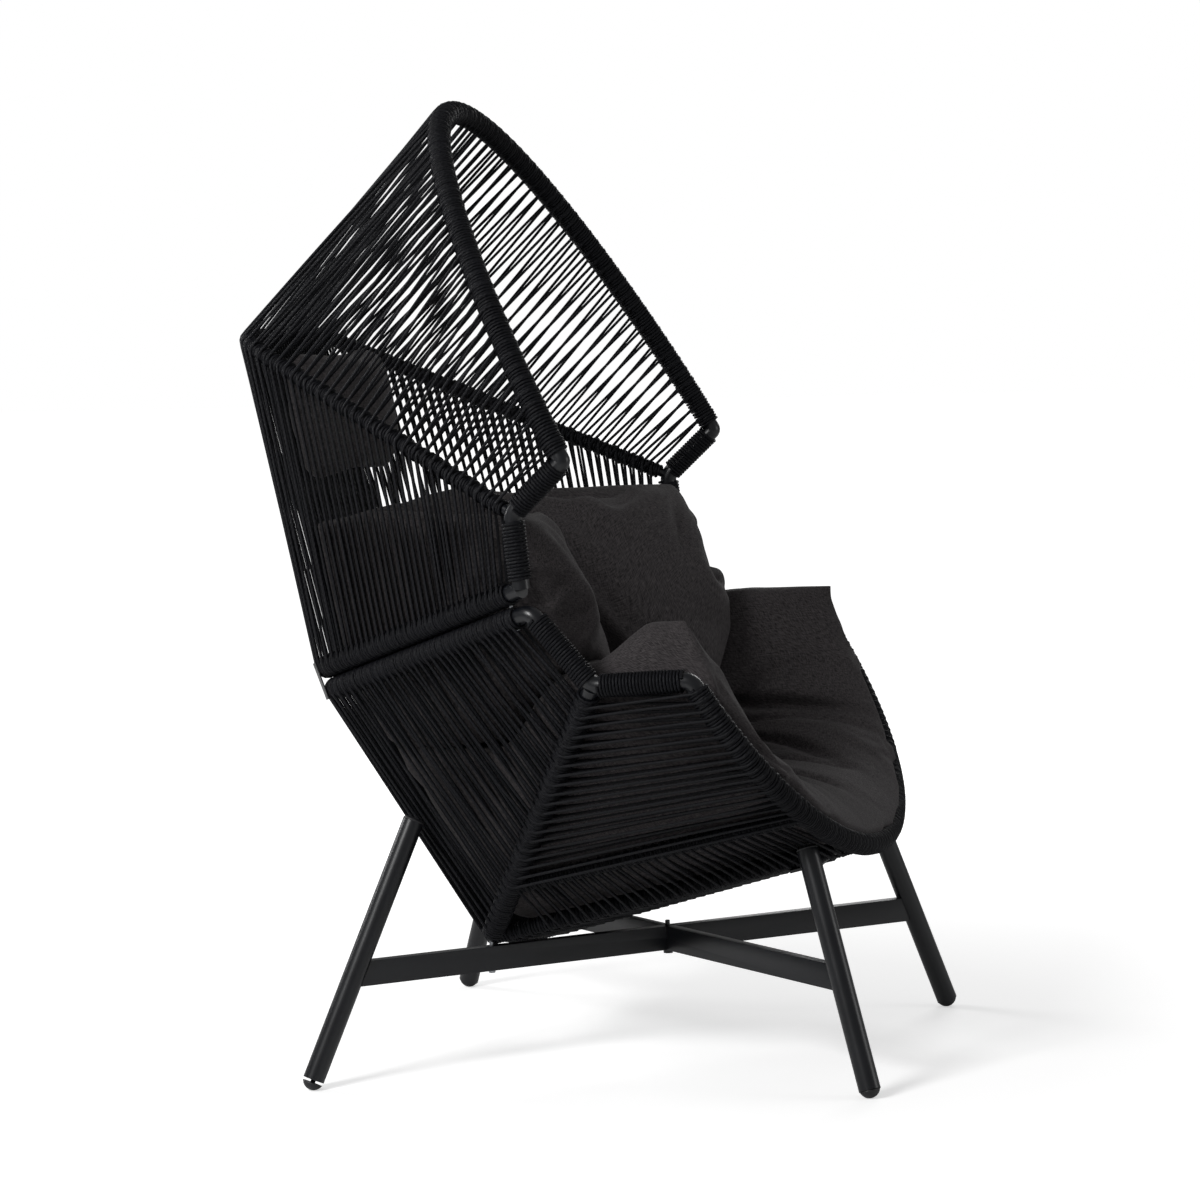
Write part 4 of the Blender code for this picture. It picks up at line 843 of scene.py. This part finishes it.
def vertex_places(mesh):
    """The vertices of a mesh as an array."""
    places = np.zeros(len(mesh.vertices) * 3)
    mesh.vertices.foreach_get("co", places)
    return places.reshape(-1, 3)


def eased(mesh, places, rounds, share=0.5):
    """Soften small puckers: each point moves part of the way to the middle of its neighbours."""
    pairs = np.zeros(len(mesh.edges) * 2, dtype=int)
    mesh.edges.foreach_get("vertices", pairs)
    first, second = pairs.reshape(-1, 2).T
    count = np.bincount(pairs, minlength=len(places))[:, None]
    for _ in range(rounds):
        total = np.zeros_like(places)
        np.add.at(total, first, places[second])
        np.add.at(total, second, places[first])
        places = places + (total / count - places) * share
    return places


def fitted(mesh, columns, rows, sizes, squareness):
    """Scale a filled cover to its finished sizes, and straighten its drawn-in edges."""
    places = eased(mesh, vertex_places(mesh), 1)
    low, high = places.min(0), places.max(0)
    places = (places - (low + high) / 2) / (high - low) * 2
    face_count = (rows + 1) * (columns + 1)
    front = places[:face_count].reshape(rows + 1, columns + 1, 3)
    straight = front.copy()
    left, right, bottom, top = front[:, :1, 0], front[:, -1:, 0], front[:1, :, 1], front[-1:, :, 1]
    straight[:, :, 0] = (front[:, :, 0] - left) / (right - left) * 2 - 1
    straight[:, :, 1] = (front[:, :, 1] - bottom) / (top - bottom) * 2 - 1
    shift = (straight - front) * squareness
    places[:face_count] += shift.reshape(-1, 3)
    places[face_count:] += shift[1:-1, 1:-1].reshape(-1, 3)
    return places * np.array(sizes) / 2


def coated(name, mesh, finish):
    """A new object of smooth faces in one finish."""
    mesh.materials.clear()
    mesh.materials.append(finish)
    for face in mesh.polygons:
        face.use_smooth = True
    return placed(name, mesh)


def keep_cover(name, mesh, places, stands_for):
    """Finish a cover: its points, smooth faces, one subdivision, cloth material and ride."""
    mesh.vertices.foreach_set("co", places.reshape(-1))
    mesh.update()
    piece = coated(name, mesh, cloth_finish)
    smoother = piece.modifiers.new("smoother", "SUBSURF")
    smoother.levels = smoother.render_levels = 1
    dress(piece, [stands_for])
    print(name, len(mesh.polygons), "faces before subdivision")


# %% [markdown]
# ## Seat cushion
#
# The seat cushion is one wide pad that lies across the shell and stands up at both sides as wings.
# Its cover is filled flat, and then laid over the shell: each point follows the shell's
# cross-section, which runs from the keel over the rails and the side nets to the arm. The
# underside is pressed flat against the cords, so the seam lies low and the upper side swells:
# upwards in the middle, and away from the net at the wings, so that the two sides of the pad never
# meet.

# %% The shell's section at a depth
PAD_FRONT, PAD_BACK = 0.135, 0.270  # how far the filling stands up the rim's plane
MIDDLE_HUG, WING_HUG = 2.3, 1.3  # how closely the sides follow the underside before they swell
PAD_CLEARANCE, PAD_SETTLING = 0.004, 0.01143
PAD_BACK_GAP = 0.050
MIDDLE_REACH, MIDDLE_OVER_RIM, OVERHANG = 0.040, 0.50, 0.030
WING_HEIGHT, BACK_WING_HEIGHT, WING_LEAN = 0.785, 0.560, 0.012
WING_WAVE, WAVE_PACE, WAVE_START = 0.012, 20, 2.2
BLUR_STEPS = 16
WALL_STEPS = 8
SIDE_OF_RING = 0.35  # the share of a ring that runs along one side
# For each wing: depth, reach past the rim, share over the rim, drop, and where its top falls.
WINGS = {"right": (0.185, 0.030, 0.75, 0, (-0.010, 0.520)),
         "left": (0.160, 0.085, 0.10, 0.018, (0.080, 0.550))}
UP_THE_PLANE = Vector((0, math.sin(RIM_LEAN), math.cos(RIM_LEAN)))


def share_of(value):
    """A value held between 0 and 1."""
    return min(1, max(0, value))


def behind_rim(point):
    """How far behind the leaning plane of the front rim a point lies, measured level."""
    return point.y - ARM_FRONT.y - math.tan(RIM_LEAN) * (point.z - ARM_FRONT.z)


def crossing(route, offset):
    """Where a route crosses the plane at an offset behind the rim."""
    for start, end in zip(route, route[1:]):
        low, high = behind_rim(start), behind_rim(end)
        if min(low, high) <= offset <= max(low, high):
            return start.lerp(end, (offset - low) / (high - low))
    return None


cad_ring = rounded_u(RING_FRONT, RING_BACK, -RING_FALL, RING_CORNER, corner_steps=5)
left_ring, left_rail, left_fold, left_strut, left_rim = [
    on_side(route, "left") for route in (cad_ring, bottom_rail, fold_rail, strut, side_rim)]
wall_lines = []
for step in range(1, WALL_STEPS):
    for start, start_share, end in ((left_strut, FOLD_ON_STRUT, left_rim),
                                    (left_ring, SIDE_OF_RING, left_strut)):
        wall_lines.append([at_share(start, start_share * step / WALL_STEPS),
                           at_share(end, step / WALL_STEPS)])
print("lines across the left walls:", len(wall_lines))
known_sections = {}


def shell_section(offset):
    """Left half section of the shell, from the keel up the rails and side walls to the arm."""
    offset = round(offset, 4)
    if offset not in known_sections:
        place = max(offset, behind_rim(keel[1]), behind_rim(left_rail[1]))
        points = [crossing(keel, place), crossing(left_rail, place)]
        side_place = max(place, behind_rim(left_fold[1]))
        top = crossing(on_side([ARM_FRONT, ARM_BACK, *cad_ring[:5]], "left"), max(place, 0))
        sides = [crossing(route, side_place) for route in (left_fold, left_strut, *wall_lines)]
        sides = sorted((point for point in sides if point), key=lambda point: point.z)
        for point in sides:
            if mm(12) < point.z - points[-1].z and mm(12) < top.z - point.z:
                points.append(point)
        wing_top = top + Vector((-WING_LEAN, 0, WING_HEIGHT - ARM_FRONT.z))
        known_sections[offset] = [*points, top, wing_top]
    return known_sections[offset]


def pad_place(u, v, level):
    """Place on the pad: u from wing to wing, v from back to front, level up from -1 to 1."""
    wing = WINGS["right" if u < 0 else "left"]
    wing_depth, wing_reach, wing_over_rim, drop, (fall_start, fall_end) = wing
    towards_back = (1 - v) / 2
    back = behind_rim(bow_middle) - PAD_BACK_GAP
    reach = MIDDLE_REACH + (wing_reach - MIDDLE_REACH) * u ** 6
    offset = back * towards_back - reach * (1 - towards_back)
    section = shell_section(offset)
    fall = share_of((offset - fall_start) / (fall_end - fall_start))
    fall = fall * fall * (3 - 2 * fall)
    front_height = WING_HEIGHT - (drop if u else 0)
    top_height = front_height + (BACK_WING_HEIGHT - front_height) * fall
    if u < 0:
        top_height += WING_WAVE * math.sin(offset * WAVE_PACE + WAVE_START)
    lengths = run_lengths(section)
    top_length = lengths[-1]
    for start, end, length in zip(section, section[1:], lengths):
        if start.z <= top_height <= end.z:
            top_length = length + (end - start).length * (top_height - start.z) / (end.z - start.z)
    distance = top_length * abs(u)
    blur = top_length / BLUR_STEPS
    before = at_distance(section, abs(distance - blur))[0]
    if distance < blur:
        before = mirrored(before)
    after = at_distance(section, min(distance + blur, top_length))[0]
    place = (before + after) / 2
    in_the_plane = Vector((0, 1, -math.tan(RIM_LEAN))).normalized()
    inward = (after - before).normalized().cross(in_the_plane).normalized()
    settled = 1 - u * u * (3 - 2 * abs(u))
    rise = UP_THE_PLANE * (PAD_FRONT + (PAD_BACK - PAD_FRONT) * towards_back) * settled
    draw_in = Vector((-wing_depth * place.x / at_distance(section, top_length)[0].x, 0, 0))
    over_rim = MIDDLE_OVER_RIM + (wing_over_rim - MIDDLE_OVER_RIM) * u ** 2
    over_rim *= share_of(-offset / OVERHANG)
    height = (1 + (level ** 0.8 if level > 0 else level)) / 2
    place += inward * (HEAVY_WOUND + PAD_CLEARANCE) * (1 - over_rim)
    hug = MIDDLE_HUG + (WING_HUG - MIDDLE_HUG) * abs(u) ** 1.5
    place += (rise + draw_in) * max(height, 0) ** hug
    if u < 0:
        place = mirrored(place)
    place.y += offset - behind_rim(place)
    if abs(u) < 1e-6:
        place.x = 0
    place.z -= PAD_SETTLING
    return place


# %% [markdown]
# A pad that turns up at both sides has too much cloth on its inner face. It gathers in folds that
# fan out from a heart on each side, in a valley where the wing begins, and in puckers at the
# front.

# %% Fill the pad flat and lay it in the shell
PAD_COLUMNS, PAD_ROWS = 144, 60
PAD_CUT = (1.50, 0.62, mm(14))
PAD_PRESSURE, PAD_FRAMES = 3.0, 20
FOLD_DEPTH = 0.38
FOLD_HEART, HEART_SCALE = (0.51, 0.08), (0.75, 0.31)
FAN_PACE, FAN_TURN = 9, 2.2
VALLEY_PLACE, VALLEY_WIDTH, VALLEY_DEPTH = 0.61, 0.027, 1.5
PULL_WIDTH, PULL_DEPTH = 0.045, 0.7
PUCKER_PACE, PUCKER_DEPTH = 23, 0.55


def folds(u, v):
    """Depth of the folds in the pad's upper side, as a share of the fold depth."""
    side = 1 if u > 0 else -1
    across = (FOLD_HEART[0] - abs(u)) * HEART_SCALE[0]
    along = (v - FOLD_HEART[1]) * HEART_SCALE[1]
    reach, turn = math.hypot(across, along), math.atan2(across, along)
    window = share_of((reach - 0.03) / 0.07) * share_of((0.36 - reach) / 0.16)
    fan = max(0, math.cos(turn * FAN_PACE + side * 0.9 + 1.2 * math.sin(reach * 14))) ** 3
    from_valley = abs(u) - VALLEY_PLACE - 0.02 * math.sin(4 * v + side)
    valley = math.exp(-(from_valley / VALLEY_WIDTH) ** 2)
    pull = math.exp(-(reach / PULL_WIDTH) ** 2)
    puckers = max(0, math.cos(u * PUCKER_PACE + 1.6 * math.sin(3 * v))) ** 3
    puckers *= share_of((v - 0.25) / 0.30) * share_of((1 - v) / 0.20) * max(0, 1 - abs(u) / 0.55)
    fan_and_valley = (fan * window + VALLEY_DEPTH * valley) * max(0, 1 - abs(turn) / FAN_TURN)
    return fan_and_valley * min(1, abs(u) / 0.15) + PULL_DEPTH * pull + PUCKER_DEPTH * puckers


pad_mesh = sewn_panels(PAD_COLUMNS, PAD_ROWS, *PAD_CUT)
pad_mesh = filled(pad_mesh, PAD_PRESSURE, PAD_FRAMES)
flat = fitted(pad_mesh, PAD_COLUMNS, PAD_ROWS, (2.0, 2.0, 2.0), 0.85)
laid = np.array([pad_place(u, -v, level - FOLD_DEPTH * folds(u, -v) * max(0, level))
                 for u, v, level in flat])
laid[:, 1] -= BACK_SHIFT
keep_cover("seat_pad", pad_mesh, laid, "seat_cushion")

# %% [markdown]
# ## Pillows
#
# Three loose pillows: two stand on the seat cushion and lean into the back corners of the shell,
# and a small one sits up in the hood. The back pillows are pushed in, so what lies behind them
# takes the form of the nets: each point stops short of the first net or cushion that it meets on
# its way out from the pillow's heart, and short of a wavy line between the two pillows.

# %% A mould to press the pillows in
NET_CLEARANCE = mm(22)
PRESS_SOFTNESS = mm(22)
MIDDLE_WAVE, MIDDLE_PACE = mm(16), 14


def net_rows(route_a, shares_a, route_b, shares_b, steps=16):
    """Straight lines between two routes, as a wall's cords run."""
    rows = []
    for step in range(steps + 1):
        for route, (start, end) in ((route_a, shares_a), (route_b, shares_b)):
            rows.append(at_share(route, start + (end - start) * step / steps))
    return rows


nets = [net_rows(belt, (0.38, 0.62), hood_ring, (0.34, 0.66)),
        net_rows(seat_ring, (0.34, 0.66), rear_cross, (0, 1)),
        net_rows(seat_ring, (0, 1), hood_ring, (0, 1), 80)]
for side in SIDES:
    for route_a, end_a, route_b, end_b in ((belt, 0.39, hood_ring, 0.35),
                                           (seat_ring, SIDE_OF_RING, strut, 1),
                                           (strut, FOLD_ON_STRUT, side_rim, 1)):
        nets.append(net_rows(on_side(route_a, side), (0, end_a),
                             on_side(route_b, side), (0, end_b)))
mould_points, mould_faces = [], []
for rows in nets:
    start = len(mould_points)
    mould_points += rows
    mould_faces += [(k, k + 1, k + 3, k + 2) for k in range(start, start + len(rows) - 2, 2)]
mould = BVHTree.FromPolygons(mould_points, mould_faces)
print("mould:", len(nets), "nets of", len(mould_faces), "faces")


def pressed(place, heart, surfaces, own_side=0):
    """Hold a point short of the surfaces round the heart, and on its side of the middle."""
    way = Vector(place) - heart
    reach = way.length
    way.normalize()
    room = reach + 1
    for surface, clearance in surfaces:
        hit, normal, _, distance = surface.ray_cast(heart, way)
        if hit:
            room = min(room, distance - clearance / max(0.4, abs(way.dot(normal))))
    if way.x * own_side < -0.02:
        middle = MIDDLE_WAVE * math.sin(MIDDLE_PACE * place[2])
        room = min(room, (abs(heart.x) + mm(3) - own_side * middle) / abs(way.x))
    start = room - PRESS_SOFTNESS
    if reach > start:
        reach = room - PRESS_SOFTNESS * math.exp((start - reach) / PRESS_SOFTNESS)
    return heart + way * reach


# %% [markdown]
# The back pillows' lower edges reach down to the seat cushion, furthest a little outside the
# middle. A row of the table gives a pillow's centre, its outer side, its lean and this extra reach.

# %% Fill and lean the pillows
PILLOW_PRESSURE, PILLOW_FRAMES = 3.5, 24
PILLOW_TOE = math.radians(26)
PILLOW_SIZE = (0.500, 0.480, 0.180)
PILLOW_PAST_MIDDLE, PILLOW_DEEPER = 0.045, 0.270
INNER_DROP, OUTER_RISE, TOP_FALL = 0.150, 0.200, 0.030
REACH_PLACE, REACH_WIDTH = 0.30, 0.18
BEHIND_RISE, BEHIND_DROP = 0.070, 0.170
CREASE_DEPTH, CREASE_PACE = 0.080, 13
pillow_table = {
    "right": (Vector((-0.2311, 0.1330, 0.7107)), -1, math.radians(18), 0.070),
    "left": (Vector((0.2188, 0.0760, 0.7230)), 1, math.radians(29), 0.115),
}


def pillow_shape(columns, rows, width, height, thickness):
    """Mesh and points of one filled pillow, in its own plane."""
    mesh = sewn_panels(columns, rows, width * 1.05, height * 1.05, mm(12))
    mesh = filled(mesh, PILLOW_PRESSURE, PILLOW_FRAMES)
    places = fitted(mesh, columns, rows, (width, height, thickness), 0.50)
    return mesh, creased(places, width, height, thickness * CREASE_DEPTH)


def creased(places, width, height, depth):
    """Sink creases that fan out from each corner of a flat pillow."""
    sunk = places.copy()
    for corner, (side, end) in enumerate(((-1, -1), (1, -1), (1, 1), (-1, 1))):
        across = width / 2 - side * places[:, 0]
        along = height / 2 - end * places[:, 1]
        reach = np.hypot(across, along) / min(width, height)
        turn = np.arctan2(across, along)
        window = np.clip((reach - 0.10) / 0.15, 0, 1) * np.clip((0.62 - reach) / 0.25, 0, 1)
        waves = np.cos(turn * CREASE_PACE + corner * 1.7 + 1.1 * np.sin(reach * 9 + corner))
        sunk[:, 2] -= np.sign(places[:, 2]) * depth * np.maximum(0, waves) ** 3 * window
    return sunk


def stood(places, centre, toe, lean):
    """Stand a flat pillow up: toe turns it on the seat, lean tips its top back."""
    turn = Matrix.Translation(centre) @ Matrix.Rotation(toe, 4, "Z")
    turn = np.array(turn @ Matrix.Rotation(math.pi / 2 - lean, 4, "X"))
    return places @ turn[:3, :3].T + turn[:3, 3]


def keep_pillow(name, mesh, places, heart, surfaces, own_side, stands_for):
    """Press a stood pillow into its corner and finish it."""
    places = np.array([pressed(place, heart, surfaces, own_side) for place in places])
    places = eased(mesh, places, 2)
    places[:, 1] -= BACK_SHIFT
    keep_cover(name, mesh, places, stands_for)


pad_mould = BVHTree.FromPolygons([Vector((x, y + BACK_SHIFT, z)) for x, y, z in laid],
                                 [tuple(face.vertices) for face in pad_mesh.polygons])
pillow_width, pillow_height, pillow_thick = PILLOW_SIZE
for side, (centre, outer_side, lean, extra_reach) in pillow_table.items():
    mesh, places = pillow_shape(52, 52, *PILLOW_SIZE)
    outer = np.clip((places[:, 0] / pillow_width * 2 * outer_side + 1) / 2, 0, 1)
    bottom = -pillow_height / 2 - INNER_DROP * (1 - outer) + OUTER_RISE * outer ** 2
    bottom -= extra_reach * np.exp(-((outer - REACH_PLACE) / REACH_WIDTH) ** 2)
    top = pillow_height / 2 - TOP_FALL * outer ** 2
    places[:, 1] = bottom + (top - bottom) * (places[:, 1] / pillow_height + 0.5)
    behind = np.clip(-places[:, 2] / pillow_thick * 2, 0, 1) ** 0.85
    lower = np.clip(-places[:, 1] / pillow_height * 2, 0, 1)
    places[:, 0] -= outer_side * PILLOW_PAST_MIDDLE
    places = stood(places, centre, -outer_side * PILLOW_TOE, lean)
    pushed_back = np.outer(behind, (0, PILLOW_DEEPER, BEHIND_RISE))
    places += pushed_back - np.outer(behind * lower, (0, 0, BEHIND_DROP))
    keep_pillow("back_cushion_" + side, mesh, places, centre + Vector((0, 0.06, 0.04)),
                [(mould, NET_CLEARANCE), (pad_mould, mm(3))], outer_side, "back_pillow_" + side)

mesh, places = pillow_shape(36, 22, 0.360, 0.215, 0.160)
heart = Vector((0, 0.5408, 1.063))
keep_pillow("head_cushion", mesh, stood(places, heart, 0, math.radians(9)), heart,
            [(mould, NET_CLEARANCE)], 0, "head_pillow")

# %% [markdown]
# ## Base
#
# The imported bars, legs and small parts have the right sizes already. Round ones are only shaded
# smooth on a welded copy. Bars, brackets and plates get their edges softened on theirs, because
# rolled steel and powder have no sharp edge.

# %% Welded copies of the base
def welded(node, name, finish, body=CHAIR, bevel=None, segments=2):
    """A welded copy of a node, with bevelled edges if a width is given."""
    shape = bmesh.new()
    shape.from_mesh(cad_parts[node].data)
    bmesh.ops.remove_doubles(shape, verts=shape.verts, dist=mm(0.01))
    if bevel:
        bmesh.ops.dissolve_limit(shape, angle_limit=math.radians(1), verts=shape.verts,
                                 edges=shape.edges)
    mesh = bpy.data.meshes.new(name)
    shape.to_mesh(mesh)
    shape.free()
    piece = coated(name, mesh, finish)
    if bevel:
        edge = piece.modifiers.new("edge", "BEVEL")
        edge.width, edge.segments = bevel, segments
        edge.limit_method, edge.angle_limit = "ANGLE", math.radians(35)
        edge.harden_normals = True
    else:
        mesh.set_sharp_from_angle(angle=math.radians(40))
    dress(piece, [node], body)


for leg in EVERY_LEG:
    welded("leg_" + leg, "splayed_leg_" + leg, powder_coat)
    welded("leg_plug_" + leg, "leg_cap_" + leg, nylon)
    welded("levelling_glide_" + leg, "screw_foot_" + leg, nylon, "glide_" + leg)
for level in ("lower", "upper"):
    welded("base_bar_" + level, "crossing_bar_" + level, powder_coat, bevel=mm(1.6), segments=3)
for side in SIDES:
    welded("front_bracket_" + side, "leg_bracket_" + side, powder_coat, bevel=mm(0.8))
    welded("joining_plate_" + side, "ring_plate_" + side, powder_coat, bevel=mm(0.4))

# %% Finish the nodes that stay
for name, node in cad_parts.items():
    for start, finish, slot in (("rear_shell_bolt_", zinc, "bolt_steel"),
                                ("hood_bolt_", zinc, "bolt_steel"),
                                ("centre_bolt", powder_coat, "painted_frame")):
        if name.startswith(start):
            node.data.materials.clear()
            node.data.materials.append(finish)

# %% [markdown]
# ## Studio
#
# A pale floor and a white room. Both look white to the camera. Large soft lamps light the object
# at a plain level, so that black cord still shows its turns, and the floor keeps a soft shadow.

# %% Floor and room
FLOOR_REACH = 30
GLOW_START, GLOW_END = 0.8, 3.5
floor_mesh = bpy.data.meshes.new("studio_floor")
corners = [(x * FLOOR_REACH, y * FLOOR_REACH, 0) for x, y in ((-1, -1), (1, -1), (1, 1), (-1, 1))]
floor_mesh.from_pydata(corners, [], [(0, 1, 2, 3)])
floor_paint, add, shader, place = new_finish("studio_white")
distance = add("VectorMath", [place], "LENGTH").outputs["Value"]
glow = add("MapRange", {"Value": distance, "From Min": GLOW_START, "From Max": GLOW_END,
                        "To Min": 0.50, "To Max": 0.92})
seen = add("LightPath").outputs["Is Camera Ray"]
feed(shader, {
    "Base Color": paint("#e6e6e6"),
    "Roughness": 0.9,
    "Specular IOR Level": 0.1,
    "Emission Color": (1, 1, 1, 1),
    "Emission Strength": add("Math", [seen, glow], "MULTIPLY"),
})
floor_mesh.materials.append(floor_paint)
floor = placed("studio_floor", floor_mesh)

world = bpy.data.worlds.new("studio_room")
bpy.context.scene.world = world
world.use_nodes = True
seen = add_node(world.node_tree, "LightPath").outputs["Is Camera Ray"]
strength = add_node(world.node_tree, "MapRange", {"Value": seen, "To Min": 0.24, "To Max": 1.0})
feed(world.node_tree.nodes["Background"], {"Color": (1, 1, 1, 1), "Strength": strength})

# %% Lamps
LAMP_TARGET = Vector((0, 0, 0.8))
for name, place, size, power in (("key_lamp", (-3.2, 1.6, 2.8), 1.2, 112),
                                 ("front_lamp", (0.4, -4.2, 1.4), 1.6, 19),
                                 ("back_lamp", (1.2, 3.8, 2.2), 1.6, 60),
                                 ("fill_lamp", (3.8, -0.2, 2.0), 1.6, 34)):
    lamp = bpy.data.lights.new(name, "AREA")
    lamp.shape = "SQUARE"
    lamp.size = size
    lamp.energy = power
    holder = placed(name, lamp)
    holder.location = place
    holder.rotation_euler = (LAMP_TARGET - Vector(place)).to_track_quat("-Z", "Y").to_euler()

# %% [markdown]
# ## Camera
#
# The camera stands where the photograph was taken: to the chair's right, a little in front of it,
# and slightly above the armrest.

# %% Camera
PICTURE, FOCAL_PIXELS = 1200, 3600
CAMERA_PLACE = (-5.738, -1.471 - BACK_SHIFT, 1.277)
yaw, pitch, roll = math.radians(-74.687), math.radians(5.132), math.radians(-1.685)
forward = Vector((-math.sin(yaw) * math.cos(pitch), math.cos(yaw) * math.cos(pitch),
                  -math.sin(pitch)))
level_right = Vector((math.cos(yaw), math.sin(yaw), 0))
level_up = level_right.cross(forward)
camera_right = level_right * math.cos(roll) + level_up * math.sin(roll)
camera_up = level_up * math.cos(roll) - level_right * math.sin(roll)
lens = bpy.data.cameras.new("photo_camera")
lens.sensor_width = 36
lens.lens = FOCAL_PIXELS / PICTURE * lens.sensor_width
lens.clip_end = 100
camera = placed("photo_camera", lens)
turn = Matrix((camera_right, camera_up, -forward)).transposed().to_4x4()
camera.matrix_world = Matrix.Translation(CAMERA_PLACE) @ turn
bpy.context.scene.camera = camera
bpy.context.scene.view_settings.view_transform = "Standard"
